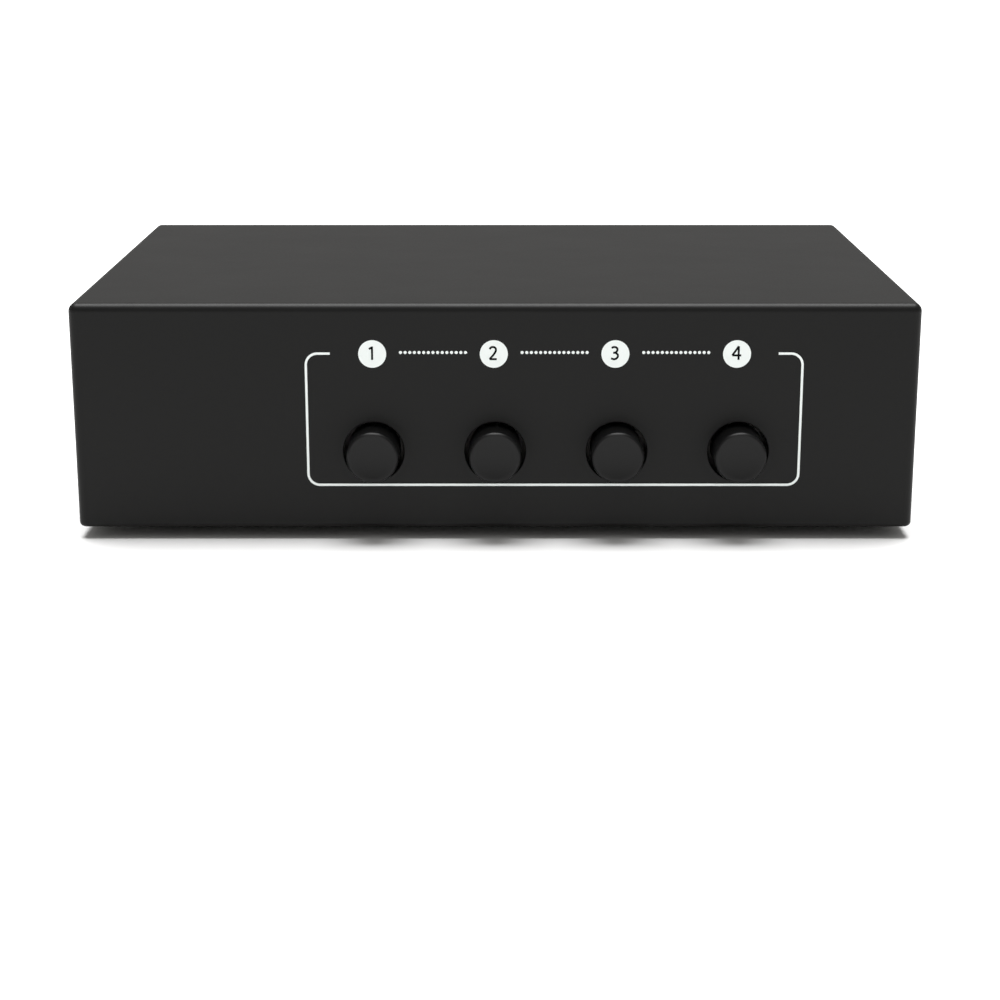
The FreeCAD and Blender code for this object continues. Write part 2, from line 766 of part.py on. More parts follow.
def make_latch_bar():
    body = new_body("latch_bar", "first_button", "bank_front + frame_sheet + slide_gap", "button_height")
    bar = sketch_on(body, "XZ_Plane")
    rectangle(bar, "-latch_overhang", "3 * button_pitch + latch_overhang", "-latch_height / 2",
              "latch_height / 2")
    pad(body, bar, "latch_sheet", reverse=True)
    tab = sketch_on(body, "XY_Plane")
    rectangle(tab, "-latch_overhang", "latch_sheet - latch_overhang", "0", "latch_tab - slide_gap")
    pad(body, tab, "latch_height", both=True)
    window = sketch_on(body, "XZ_Plane")
    rectangle(window, "-nose_side", "stem_side + latch_travel", "-stem_side", "stem_side")
    cut = pocket(body, window, "2 * latch_sheet")
    repeat(body, cut, "button_pitch", len(BUTTONS))
    return body


def coil_path(radius, turns, height):
    """A helix about the Z axis, drawn with quarter-turn arcs."""
    points = []
    for eighth in range(8 * turns + 1):
        angle = math.pi / 4 * eighth
        rise = height * eighth / (8 * turns)
        points.append(FreeCAD.Vector(radius * math.cos(angle), radius * math.sin(angle), rise))
    return Part.Wire([Part.Arc(*points[start:start + 3]).toShape() for start in range(0, 8 * turns, 2)])


def make_coil(label, wire, radius, turns, room, axis, degrees):
    """A helical spring that fills its room along the local Z axis, then turned to lie along its axis."""
    height = room - 2 * (wire + sheet.get("spring_gap"))
    start = FreeCAD.Vector(radius, 0, 0)
    slope = FreeCAD.Vector(0, 2 * math.pi * radius, height / turns)
    section = Part.Wire(Part.Circle(start, slope, wire).toShape())
    coil = doc.addObject("Part::Feature", label)
    coil.Label = label
    coil.Shape = coil_path(radius, turns, height).makePipeShell([section], True, False)
    turn(coil, axis, degrees)
    print("%s: turns %.2f mm apart" % (label, height / turns - 2 * wire))
    return coil


def make_return_spring(name):
    room = sheet.get("button_travel") + sheet.get("spring_pressed")
    coil = make_coil("return_spring_" + name, sheet.get("return_wire"), sheet.get("return_radius"),
                     RETURN_TURNS, room, FreeCAD.Vector(1, 0, 0), 90)
    place(coil, button_x(name), "bank_front - return_wire - spring_gap", "button_height")
    return coil


def make_latch_spring():
    room = sheet.get("ear_overhang") - sheet.get("frame_sheet") - sheet.get("latch_overhang")
    coil = make_coil("latch_spring", sheet.get("latch_wire"), sheet.get("latch_radius"), LATCH_TURNS, room,
                     FreeCAD.Vector(0, 1, 0), 90)
    place(coil, "first_button - ear_overhang + frame_sheet + latch_wire + spring_gap",
          "bank_front + frame_sheet + slide_gap + latch_tab / 2", "button_height")
    return coil


def make_phono_housing(name):
    body = new_body("phono_housing_" + name, cell_x(name) + " + phono_offset", "back", "board_top")
    block = sketch_on(body, "XY_Plane")
    rectangle(block, "-housing_width / 2", "housing_width / 2", "-housing_rear", "-base_sheet")
    pad(body, block, "housing_top - board_top")
    screw_x = "(phono_offset + screw_offset)"
    screw_height = "panel_screw - board_top"
    ear = sketch_on(body, "XY_Plane", screw_height + " - ear_height / 2")
    rectangle(ear, "-" + screw_x + " - housing_ear", "-housing_width / 2 + housing_ear / 2",
              "-base_sheet - ear_depth", "-base_sheet")
    pad(body, ear, "ear_height")
    rows = ("phono_axis", "phono_axis + phono_spacing")
    for radius, proud in (("collar_radius", "collar_proud"), ("collar_step", "step_proud")):
        collar = sketch_on(body, "XZ_Plane", "base_sheet")
        for height in rows:
            circle(collar, "0", height, radius)
        pad(body, collar, "base_sheet + " + proud, reverse=True)
        rim = sheet.get(radius)
        lift = sheet.get(proud)
        dress("Fillet", body, lambda edge, box: is_ring(edge, rim) and level(edge, "Y", lift),
              Radius="collar_round")
    bore = sketch_on(body, "XZ_Plane")
    for height in rows:
        circle(bore, "0", height, "shell_stem + socket_fit")
    pocket(body, bore, "3 * (housing_rear + step_proud)", both=True)
    thread = sketch_on(body, "XZ_Plane", "base_sheet")
    circle(thread, "-" + screw_x, screw_height, "panel_hole")
    pocket(body, thread, "panel_screw_length", reverse=True)
    return body


def phono_rows():
    """The lower and upper socket of a pair: name, height, and the rear ends of shell and contact."""
    return [
        ("low", "low_phono", "housing_rear + tail_sheet", "low_contact_rear"),
        ("high", "high_phono", "high_shell_rear", "high_contact_rear"),
    ]


def tail(body, x, rear, start, height):
    """Lead a solder tail straight down from a turned piece to below the board."""
    strip = sketch_on(body, "XY_Plane", "-(" + start + ")")
    rectangle(strip, x + " - tail_width / 2", x + " + tail_width / 2", "-(" + rear + ")",
              "tail_sheet - (" + rear + ")")
    pad(body, strip, height + " - tail_end - (" + start + ")", reverse=True)


def make_phono_shells(name):
    shells = []
    for row, height, rear, _ in phono_rows():
        body = new_body("phono_shell_%s_%s" % (name, row), cell_x(name) + " + phono_offset", "back", height)
        low = "-(" + rear + ")"
        turned(body, [("shell_bore", low), ("shell_stem", low), ("shell_stem", "step_proud"),
                      ("shell_radius", "step_proud"), ("shell_radius", "phono_proud"),
                      ("shell_bore", "phono_proud")])
        dress("Fillet", body, lambda edge, box: level(edge, "Y", box.YMax),
              Radius="min(lip_round; 0.48 * shell_wall)")
        side = "-" if row == "low" else ""
        tail(body, side + "shell_tail_x", rear, "shell_tail_x / 2", height)
        shells.append(body)
    return group("phono_shells_" + name, shells)


def make_insert(name, row, label):
    height = "low_phono" if row == "low" else "high_phono"
    body = new_body(label, cell_x(name) + " + phono_offset", "back", height)
    outer = "shell_bore - socket_fit"
    turned(body, [("pin_hole", "insert_front"), (outer, "insert_front"), (outer, "-housing_rear"),
                  ("chamber_radius", "-housing_rear"), ("chamber_radius", "chamber_front"),
                  ("pin_hole", "chamber_front")])
    return body


def make_phono_contacts():
    contacts = []
    for name in SOCKETS:
        for row, height, _, rear in phono_rows():
            body = new_body("phono_contact_%s_%s" % (name, row), cell_x(name) + " + phono_offset", "back",
                            height)
            bore, low, high = "sleeve_radius - sleeve_wall", "-(" + rear + ")", "chamber_front - slide_gap"
            turned(body, [(bore, low), ("sleeve_radius", low), ("sleeve_radius", high), (bore, high)])
            tail(body, "0", rear, bore + " + sleeve_wall / 4", height)
            contacts.append(body)
    return group("phono_contacts", contacts)


def make_jack_body(name):
    body = new_body("jack_body_" + name, cell_x(name) + " - jack_offset", "back", "board_top")
    block = sketch_on(body, "XY_Plane")
    rectangle(block, "-jack_width / 2", "jack_width / 2", "-jack_rear", "-base_sheet")
    pad(body, block, "jack_axis + jack_crown")
    bushing = sketch_on(body, "XZ_Plane", "base_sheet")
    circle(bushing, "0", "jack_axis", "jack_bushing")
    pad(body, bushing, "base_sheet + jack_proud", reverse=True)
    dress("Fillet", body, lambda edge, box: level(edge, "Y", box.YMax), Radius="jack_round")
    bore = sketch_on(body, "XZ_Plane")
    circle(bore, "0", "jack_axis", "jack_bore")
    pocket(body, bore, "3 * (jack_rear + jack_proud)", both=True)
    chamber = sketch_on(body, "XY_Plane")
    rectangle(chamber, "-chamber_width / 2", "chamber_width / 2", "-jack_throat - chamber_length",
              "-jack_throat")
    pocket(body, chamber, "jack_axis + chamber_width / 2", reverse=True)
    return body


def make_jack_contacts():
    """Three leaf contacts in each jack: tip and ring beside the bore, sleeve under it."""
    leaves = []
    for name in SOCKETS:
        for index, (x, y) in enumerate(leaf_places(), start=1):
            leaf = doc.addObject("Part::Box", "jack_leaf_%s_%d" % (name, index))
            top = "jack_height - jack_bore - leaf_gap" if x == "0" else "jack_height + jack_bore"
            bind(leaf, Length="leaf_sheet", Width="pin_width", Height=top + " - tail_end")
            place(leaf, cell_x(name) + " - jack_offset + " + x + " - leaf_sheet / 2",
                  "back + " + y + " - pin_width / 2", "tail_end")
            leaves.append(leaf)
    return group("jack_contacts", leaves)


subparts = [
    make_cover(),
    make_base_tray(),
    make_feet(),
    make_case_screws(),
    make_standoffs(),
    make_board(),
    make_board_screws(),
    make_panel_screws(),
    make_switch_frame(),
    make_latch_bar(),
    make_latch_spring(),
    make_switch_pins(),
    make_phono_contacts(),
    make_jack_contacts(),
]
for name in BUTTONS:
    subparts.append(make_button(name))
    subparts.append(make_plunger(name))
    subparts.append(make_wiper(name))
    subparts.append(make_switch_body(name))
    subparts.append(make_return_spring(name))
for name in SOCKETS:
    subparts.append(make_phono_housing(name))
    subparts.append(make_phono_shells(name))
    subparts.append(make_insert(name, "high", "white_insert_" + name))
    subparts.append(make_insert(name, "low", "red_insert_" + name))
    subparts.append(make_jack_body(name))

doc.recompute()
for item in doc.Objects:
    if "Invalid" in item.State or "Error" in item.State:
        raise RuntimeError("%s did not build: %s" % (item.Label, item.State))
for item in doc.Objects:
    if item.TypeId in ("PartDesign::Pocket", "PartDesign::LinearPattern"):
        if item.Shape.Volume >= item.BaseFeature.Shape.Volume - 1e-6:
            raise RuntimeError("%s cuts nothing" % item.Label)
os.makedirs("parts", exist_ok=True)
for piece in subparts:
    if piece.Shape.isNull() or not piece.Shape.isValid():
        raise RuntimeError("%s has no sound solid" % piece.Label)
    piece.Shape.exportStep(os.path.join("parts", piece.Label + ".step"))
    print("%s: %d solids, %.1f mm3" % (piece.Label, len(piece.Shape.Solids), piece.Shape.Volume))
print(len(subparts), "sub-parts")
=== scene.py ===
import json
import math

import bmesh
import bpy
from mathutils import Matrix, Vector


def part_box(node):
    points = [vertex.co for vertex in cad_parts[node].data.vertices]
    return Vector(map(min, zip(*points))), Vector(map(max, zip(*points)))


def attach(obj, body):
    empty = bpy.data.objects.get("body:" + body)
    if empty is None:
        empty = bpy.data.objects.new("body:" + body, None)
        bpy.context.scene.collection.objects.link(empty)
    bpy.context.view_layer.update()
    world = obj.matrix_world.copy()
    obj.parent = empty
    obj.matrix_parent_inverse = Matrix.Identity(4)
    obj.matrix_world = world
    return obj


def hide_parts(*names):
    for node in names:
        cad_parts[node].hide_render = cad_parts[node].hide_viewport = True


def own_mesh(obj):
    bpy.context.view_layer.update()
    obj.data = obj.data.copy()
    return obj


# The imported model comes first. Its box is the size that every piece here keeps to.
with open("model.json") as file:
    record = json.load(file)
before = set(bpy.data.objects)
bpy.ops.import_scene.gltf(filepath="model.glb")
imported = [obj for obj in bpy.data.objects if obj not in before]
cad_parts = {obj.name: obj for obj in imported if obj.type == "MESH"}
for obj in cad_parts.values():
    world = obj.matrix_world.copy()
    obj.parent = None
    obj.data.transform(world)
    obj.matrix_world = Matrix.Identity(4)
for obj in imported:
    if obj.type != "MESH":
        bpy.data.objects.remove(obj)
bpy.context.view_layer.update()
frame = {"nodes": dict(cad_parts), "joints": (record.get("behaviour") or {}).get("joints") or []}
nodes = frame["nodes"]
print("frame loaded:", len(nodes), "nodes")

# Shapes are written in millimetres and brought to metres when a piece is finished.
perMetre = 1000.0
samePoint = 0.0005  # points nearer to each other than this are merged
samePlane = 0.0001  # points nearer to a cutting plane than this lie on it


def boxMm(node):
    low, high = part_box(node)
    return low * perMetre, high * perMetre


def pieceName(node):
    # return_spring_1 gives returnSpring_1
    first, second, *rest = node.split("_")
    return "_".join([first + second.title(), *rest])


# The camera stands straight in front of the case and looks down on it.
cameraSet = {"place": (0.0008, -0.38711, 0.10064), "tilt": 74.523, "lens": 75.6, "film": 36.0}


def addCamera():
    view = bpy.data.cameras.new("camera")
    view.lens = cameraSet["lens"]
    view.sensor_width = cameraSet["film"]
    view.clip_start = 0.01
    view.clip_end = 50
    camera = bpy.data.objects.new("camera", view)
    camera.location = cameraSet["place"]
    camera.rotation_euler = (math.radians(cameraSet["tilt"]), 0, 0)
    bpy.context.scene.collection.objects.link(camera)
    bpy.context.scene.camera = camera


addCamera()
print("camera placed")

# Studio: a wide overhead light on a white sweep, which throws the light back at the upright faces.
studioSet = {
    "overhead": {"turn": (-9, 0, 0), "spread": 42, "strength": 5.6},
    "room": (1.0, 0.985, 0.955),
    "roomStrength": 0.37,
    "wallBrightness": 1.1,
    "floorSide": 120.0,
    "floorColor": (0.86, 0.86, 0.86),
    "floorRoughness": 0.9,
    "floorShine": 0.1,
}


def addLight(name):
    light = bpy.data.lights.new(name, "SUN")
    light.energy = studioSet[name]["strength"]
    light.angle = math.radians(studioSet[name]["spread"])
    lamp = bpy.data.objects.new(name, light)
    lamp.rotation_euler = [math.radians(turn) for turn in studioSet[name]["turn"]]
    bpy.context.scene.collection.objects.link(lamp)


def addRoom():
    world = bpy.data.worlds.new("room")
    world.use_nodes = True
    tree = world.node_tree
    background = tree.nodes["Background"]
    background.inputs["Color"].default_value = (*studioSet["room"], 1)
    # the walls throw little light, and look white where the camera sees past the floor
    seen = tree.nodes.new("ShaderNodeLightPath")
    strength = tree.nodes.new("ShaderNodeMapRange")
    strength.inputs["To Min"].default_value = studioSet["roomStrength"]
    strength.inputs["To Max"].default_value = studioSet["wallBrightness"]
    tree.links.new(seen.outputs["Is Camera Ray"], strength.inputs["Value"])
    tree.links.new(strength.outputs["Result"], background.inputs["Strength"])
    bpy.context.scene.world = world
    bpy.context.scene.view_settings.view_transform = "Standard"


addLight("overhead")
addRoom()
print("studio lit")


# Node groups that several finishes share.
def newGroup(name, takes, gives):
    group = bpy.data.node_groups.new(name, "ShaderNodeTree")
    for label, kind, value in takes:
        socket = group.interface.new_socket(name=label, in_out="INPUT", socket_type=kind)
        if value is not None:
            socket.default_value = value
    for label, kind in gives:
        group.interface.new_socket(name=label, in_out="OUTPUT", socket_type=kind)
    return group, group.nodes.new("NodeGroupInput"), group.nodes.new("NodeGroupOutput")


def mathNode(tree, operation, first, second):
    node = tree.nodes.new("ShaderNodeMath")
    node.operation = operation
    for socket, value in zip(node.inputs, (first, second)):
        if isinstance(value, bpy.types.NodeSocket):
            tree.links.new(value, socket)
        else:
            socket.default_value = value
    return node.outputs[0]


def noiseNode(tree, vector, size, detail):
    # size is the grain in millimetres
    node = tree.nodes.new("ShaderNodeTexNoise")
    node.inputs["Detail"].default_value = detail
    tree.links.new(vector, node.inputs["Vector"])
    tree.links.new(mathNode(tree, "DIVIDE", perMetre, size), node.inputs["Scale"])
    return node.outputs["Fac"]


# Surface grain: a fine height, and a roughness and shade that drift in soft patches.
def makeGrainGroup():
    group, take, give = newGroup(
        "surfaceGrain",
        [
            ("Vector", "NodeSocketVector", None),
            ("Grain Size", "NodeSocketFloat", 0.3),
            ("Patch Size", "NodeSocketFloat", 12.0),
            ("Low Roughness", "NodeSocketFloat", 0.4),
            ("High Roughness", "NodeSocketFloat", 0.5),
        ],
        [("Height", "NodeSocketFloat"), ("Roughness", "NodeSocketFloat"), ("Shade", "NodeSocketFloat")],
    )
    fine = noiseNode(group, take.outputs["Vector"], take.outputs["Grain Size"], 3)
    patch = noiseNode(group, take.outputs["Vector"], take.outputs["Patch Size"], 2)
    both = mathNode(group, "MULTIPLY", mathNode(group, "ADD", fine, patch), 0.5)
    # the noise stays mostly between these two values
    spread = group.nodes.new("ShaderNodeMapRange")
    spread.inputs["From Min"].default_value = 0.3
    spread.inputs["From Max"].default_value = 0.7
    group.links.new(both, spread.inputs["Value"])
    group.links.new(take.outputs["Low Roughness"], spread.inputs["To Min"])
    group.links.new(take.outputs["High Roughness"], spread.inputs["To Max"])
    group.links.new(fine, give.inputs["Height"])
    group.links.new(spread.outputs["Result"], give.inputs["Roughness"])
    group.links.new(patch, give.inputs["Shade"])
    return group


# Edge mask: 1 on sharp edges, where a finish wears thin, and 0 on flat faces.
def makeEdgeGroup():
    group, take, give = newGroup(
        "edgeMask",
        [("Width", "NodeSocketFloat", 0.2), ("Amount", "NodeSocketFloat", 0.5)],
        [("Mask", "NodeSocketFloat")],
    )
    around = group.nodes.new("ShaderNodeBevel")
    around.samples = 4
    group.links.new(
        mathNode(group, "DIVIDE", take.outputs["Width"], perMetre), around.inputs["Radius"]
    )
    own = group.nodes.new("ShaderNodeNewGeometry")
    along = group.nodes.new("ShaderNodeVectorMath")
    along.operation = "DOT_PRODUCT"
    group.links.new(around.outputs["Normal"], along.inputs[0])
    group.links.new(own.outputs["Normal"], along.inputs[1])
    # the mask is full where the rounded normal is a fifth away from the face's own
    away = mathNode(group, "SUBTRACT", 1.0, along.outputs["Value"])
    steep = mathNode(group, "MULTIPLY", away, 5.0)
    held = mathNode(group, "MINIMUM", steep, 1.0)
    group.links.new(mathNode(group, "MULTIPLY", held, take.outputs["Amount"]), give.inputs["Mask"])
    return group


grainGroup = makeGrainGroup()
edgeGroup = makeEdgeGroup()


def newMaterial(name):
    material = bpy.data.materials.new(name)
    material.use_nodes = True
    tree = material.node_tree
    tree.nodes.clear()
    shader = tree.nodes.new("ShaderNodeBsdfPrincipled")
    surface = tree.nodes.new("ShaderNodeOutputMaterial")
    tree.links.new(shader.outputs["BSDF"], surface.inputs["Surface"])
    return material, tree, shader


def placeGroup(tree, group, values):
    node = tree.nodes.new("ShaderNodeGroup")
    node.node_tree = group
    for label, value in values.items():
        node.inputs[label].default_value = value
    return node


def mixColors(tree, factor, first, second):
    node = tree.nodes.new("ShaderNodeMix")
    node.data_type = "RGBA"
    tree.links.new(factor, node.inputs["Factor"])
    for socket, value in zip(node.inputs[6:8], (first, second)):
        if isinstance(value, bpy.types.NodeSocket):
            tree.links.new(value, socket)
        else:
            socket.default_value = (*value, 1)
    return node.outputs[2]


def placeVector(tree):
    return tree.nodes.new("ShaderNodeTexCoord").outputs["Object"]


def splitPlace(tree):
    split = tree.nodes.new("ShaderNodeSeparateXYZ")
    tree.links.new(placeVector(tree), split.inputs["Vector"])
    return split.outputs


def linkedTo(shader, label):
    return shader.inputs[label].links[0].from_socket


# Every finish starts here: grain in the roughness and the relief, and two close shades of its colour.
def grainFinish(name, look):
    material, tree, shader = newMaterial(name)
    grain = placeGroup(
        tree,
        grainGroup,
        {
            "Grain Size": look["grain"],
            "Patch Size": look["patch"],
            "Low Roughness": look["roughness"][0],
            "High Roughness": look["roughness"][1],
        },
    )
    tree.links.new(placeVector(tree), grain.inputs["Vector"])
    color = mixColors(tree, grain.outputs["Shade"], *look["shades"])
    if "edge" in look:
        edge = placeGroup(
            tree, edgeGroup, {"Width": look["edge"]["width"], "Amount": look["edge"]["amount"]}
        )
        color = mixColors(tree, edge.outputs["Mask"], color, look["edge"]["color"])
    tree.links.new(color, shader.inputs["Base Color"])
    tree.links.new(grain.outputs["Roughness"], shader.inputs["Roughness"])
    relief = tree.nodes.new("ShaderNodeBump")
    relief.inputs["Strength"].default_value = look["bump"]
    relief.inputs["Distance"].default_value = look["relief"] / perMetre
    tree.links.new(grain.outputs["Height"], relief.inputs["Height"])
    tree.links.new(relief.outputs["Normal"], shader.inputs["Normal"])
    shader.inputs["Metallic"].default_value = look.get("metallic", 0)
    shader.inputs["Specular IOR Level"].default_value = look.get("specular", 0.5)
    return material


# Satin black powder coat of the folded sheets, thinner and a little lighter along its edges.
casePaint = grainFinish(
    "casePaint",
    {
        "shades": ((0.0056, 0.0056, 0.0055), (0.0068, 0.0068, 0.0066)),
        "roughness": (0.40, 0.46),
        "grain": 0.35,
        "patch": 14.0,
        "bump": 0.12,
        "relief": 0.05,
        "specular": 0.155,
        "edge": {"width": 0.25, "amount": 0.3, "color": (0.03, 0.03, 0.03)},
    },
)
buttonPlastic = grainFinish(
    "buttonPlastic",
    {
        "shades": ((0.0040, 0.0040, 0.0041), (0.0052, 0.0052, 0.0053)),
        "roughness": (0.32, 0.38),
        "grain": 0.16,
        "patch": 5.0,
        "bump": 0.15,
        "relief": 0.02,
        "specular": 0.18,
    },
)
socketPlastic = grainFinish(
    "socketPlastic",
    {
        "shades": ((0.0040, 0.0042, 0.0043), (0.0055, 0.0057, 0.0058)),
        "roughness": (0.40, 0.50),
        "grain": 0.25,
        "patch": 4.0,
        "bump": 0.10,
        "relief": 0.02,
        "specular": 0.14,
    },
)
jackPlastic = grainFinish(
    "jackPlastic",
    {
        "shades": ((0.0040, 0.0041, 0.0042), (0.0055, 0.0056, 0.0057)),
        "roughness": (0.28, 0.36),
        "grain": 0.25,
        "patch": 4.0,
        "bump": 0.10,
        "relief": 0.02,
        "specular": 0.36,
    },
)
whitePlastic = grainFinish(
    "whitePlastic",
    {
        "shades": ((0.33, 0.33, 0.322), (0.38, 0.38, 0.37)),
        "roughness": (0.30, 0.40),
        "grain": 0.2,
        "patch": 3.0,
        "bump": 0.08,
        "relief": 0.02,
    },
)
redPlastic = grainFinish(
    "redPlastic",
    {
        "shades": ((0.125, 0.0065, 0.0075), (0.150, 0.0090, 0.0100)),
        "roughness": (0.34, 0.44),
        "grain": 0.2,
        "patch": 3.0,
        "bump": 0.08,
        "relief": 0.02,
        "specular": 0.22,
    },
)
# Painted shade: a near-black finish for the deep bores of the socket inserts and the screw recesses,
# which lie in shade.
darkBore = grainFinish(
    "darkBore",
    {
        "shades": ((0.0014, 0.0014, 0.0014), (0.0022, 0.0022, 0.0021)),
        "roughness": (0.55, 0.70),
        "grain": 0.3,
        "patch": 3.0,
        "bump": 0.10,
        "relief": 0.02,
        "specular": 0.08,
    },
)
whiteInk = grainFinish(
    "whiteInk",
    {
        "shades": ((0.79, 0.84, 0.82), (0.85, 0.89, 0.875)),
        "roughness": (0.48, 0.60),
        "grain": 0.12,
        "patch": 2.0,
        "bump": 0.25,
        "relief": 0.01,
    },
)
blackInk = grainFinish(
    "blackInk",
    {
        "shades": ((0.0012, 0.0014, 0.0014), (0.0020, 0.0022, 0.0022)),
        "roughness": (0.50, 0.60),
        "grain": 0.12,
        "patch": 2.0,
        "bump": 0.2,
        "relief": 0.01,
        "specular": 0.06,
    },
)
footRubber = grainFinish(
    "footRubber",
    {
        "shades": ((0.012, 0.012, 0.012), (0.020, 0.020, 0.019)),
        "roughness": (0.70, 0.85),
        "grain": 0.25,
        "patch": 3.0,
        "bump": 0.35,
        "relief": 0.05,
        "specular": 0.3,
    },
)
blackSteel = grainFinish(
    "blackSteel",
    {
        "shades": ((0.020, 0.020, 0.021), (0.030, 0.030, 0.031)),
        "roughness": (0.30, 0.42),
        "grain": 0.22,
        "patch": 1.5,
        "bump": 0.25,
        "relief": 0.02,
        "metallic": 1.0,
        "edge": {"width": 0.12, "amount": 0.4, "color": (0.09, 0.09, 0.09)},
    },
)
# Plated steel, darker than bright zinc: a dull zinc, and in part painted shade, so the switch frame seen
# through the button gaps stays dark.
platedSteel = grainFinish(
    "platedSteel",
    {
        "shades": ((0.12, 0.117, 0.11), (0.17, 0.167, 0.158)),
        "roughness": (0.38, 0.52),
        "grain": 0.5,
        "patch": 2.5,
        "bump": 0.15,
        "relief": 0.02,
        "metallic": 1.0,
    },
)
springSteel = grainFinish(
    "springSteel",
    {
        "shades": ((0.22, 0.22, 0.215), (0.30, 0.30, 0.295)),
        "roughness": (0.22, 0.34),
        "grain": 0.12,
        "patch": 1.0,
        "bump": 0.15,
        "relief": 0.01,
        "metallic": 1.0,
    },
)
contactBrass = grainFinish(
    "contactBrass",
    {
        "shades": ((0.70, 0.50, 0.22), (0.80, 0.60, 0.30)),
        "roughness": (0.24, 0.38),
        "grain": 0.2,
        "patch": 1.5,
        "bump": 0.12,
        "relief": 0.01,
        "metallic": 1.0,
    },
)
# the sleeves deep in the sockets are dull, and their brass is painted near black as painted shade, where
# they lie in the dark
boreContact = grainFinish(
    "boreContact",
    {
        "shades": ((0.020, 0.017, 0.012), (0.032, 0.026, 0.018)),
        "roughness": (0.55, 0.70),
        "grain": 0.2,
        "patch": 1.5,
        "bump": 0.12,
        "relief": 0.01,
        "metallic": 1.0,
    },
)
sliderPlastic = grainFinish(
    "sliderPlastic",
    {
        "shades": ((0.60, 0.59, 0.54), (0.68, 0.67, 0.62)),
        "roughness": (0.38, 0.50),
        "grain": 0.2,
        "patch": 3.0,
        "bump": 0.10,
        "relief": 0.02,
    },
)
switchPlastic = grainFinish(
    "switchPlastic",
    {
        "shades": ((0.020, 0.045, 0.090), (0.026, 0.058, 0.115)),
        "roughness": (0.34, 0.46),
        "grain": 0.25,
        "patch": 4.0,
        "bump": 0.12,
        "relief": 0.02,
    },
)


# Socket shells: a bright turned lip at the tip; behind it the nickel neck is painted gloss black, a
# painted dark reflection.
shellSet = {"lip": 1.08, "neck": (0.0045, 0.0048, 0.0050)}


def makeShellNickel():
    material = grainFinish(
        "shellNickel",
        {
            "shades": ((0.27, 0.27, 0.262), (0.32, 0.32, 0.31)),
            "roughness": (0.20, 0.28),
            "grain": 0.3,
            "patch": 2.0,
            "bump": 0.08,
            "relief": 0.01,
        },
    )
    tree = material.node_tree
    shader = tree.nodes["Principled BSDF"]
    tip = boxMm("phono_shells_1")[1].y
    # the lip is bright nickel; the neck behind it gets the painted dark reflection, gloss black and not
    # metallic
    bright = mathNode(tree, "GREATER_THAN", splitPlace(tree)["Y"], (tip - shellSet["lip"]) / perMetre)
    tree.links.new(bright, shader.inputs["Metallic"])
    color = mixColors(tree, bright, shellSet["neck"], linkedTo(shader, "Base Color"))
    tree.links.new(color, shader.inputs["Base Color"])
    return material


shellNickel = makeShellNickel()


# The cut walls of the button holes are painted near black and dull, as painted shade where they lie in
# the dark between the cap and the sheet.
holeShadeSet = {"radius": 5.22, "behind": 0.03, "deep": 1.5, "wall": (0.0012, 0.0012, 0.0012)}


def paintHoleShade(material):
    tree = material.node_tree
    shader = tree.nodes["Principled BSDF"]
    first, second = boxMm("button_1"), boxMm("button_2")
    pitch = (second[0].x - first[0].x) / perMetre
    centre = (first[0] + first[1]) / 2
    place = splitPlace(tree)
    # the holes stand one pitch apart, so the distance to the nearest one folds back and forth
    across = mathNode(tree, "SUBTRACT", place["X"], centre.x / perMetre)
    across = mathNode(tree, "PINGPONG", mathNode(tree, "ABSOLUTE", across, 0), pitch / 2)
    up = mathNode(tree, "SUBTRACT", place["Z"], centre.z / perMetre)
    square = mathNode(tree, "ADD", mathNode(tree, "POWER", across, 2), mathNode(tree, "POWER", up, 2))
    near = mathNode(tree, "LESS_THAN", square, (holeShadeSet["radius"] / perMetre) ** 2)
    front = boxMm("cover")[0].y
    for operation, depth in (("GREATER_THAN", holeShadeSet["behind"]), ("LESS_THAN", holeShadeSet["deep"])):
        inside = mathNode(tree, operation, place["Y"], (front + depth) / perMetre)
        near = mathNode(tree, "MULTIPLY", near, inside)
    # painted shade: near a hole's axis and just behind the front face, the colour goes near black and
    # the roughness goes full
    color = mixColors(tree, near, linkedTo(shader, "Base Color"), holeShadeSet["wall"])
    tree.links.new(color, shader.inputs["Base Color"])
    dull = mathNode(tree, "MAXIMUM", near, linkedTo(shader, "Roughness"))
    tree.links.new(dull, shader.inputs["Roughness"])


paintHoleShade(casePaint)


# Circuit board: green mask, lighter where copper runs below it.
boardSet = {"trackPitch": 5.0, "trackWidth": 0.35, "copper": (0.030, 0.200, 0.080)}


def makeBoardLaminate():
    material = grainFinish(
        "boardLaminate",
        {
            "shades": ((0.010, 0.105, 0.045), (0.014, 0.130, 0.055)),
            "roughness": (0.22, 0.34),
            "grain": 0.5,
            "patch": 6.0,
            "bump": 0.08,
            "relief": 0.02,
        },
    )
    tree = material.node_tree
    shader = tree.nodes["Principled BSDF"]
    pitch = boardSet["trackPitch"] / perMetre
    across = mathNode(tree, "PINGPONG", splitPlace(tree)["X"], pitch / 2)
    track = mathNode(tree, "LESS_THAN", across, boardSet["trackWidth"] / perMetre)
    color = mixColors(tree, track, linkedTo(shader, "Base Color"), boardSet["copper"])
    tree.links.new(color, shader.inputs["Base Color"])
    return material


boardLaminate = makeBoardLaminate()

finishes = {
    "case_paint": casePaint,
    "foot_rubber": footRubber,
    "black_steel": blackSteel,
    "plated_steel": platedSteel,
    "board_laminate": boardLaminate,
    "spring_steel": springSteel,
    "contact_brass": contactBrass,
    "button_plastic": buttonPlastic,
    "slider_plastic": sliderPlastic,
    "switch_plastic": switchPlastic,
    "socket_plastic": socketPlastic,
    "shell_nickel": shellNickel,
    "white_plastic": whitePlastic,
    "red_plastic": redPlastic,
}
for node in nodes.values():
    for materialSlot in node.material_slots:
        materialSlot.material = finishes[materialSlot.material.name]
nodes["phono_contacts"].material_slots[0].material = boreContact
print("finishes given to the CAD nodes:", len(finishes))


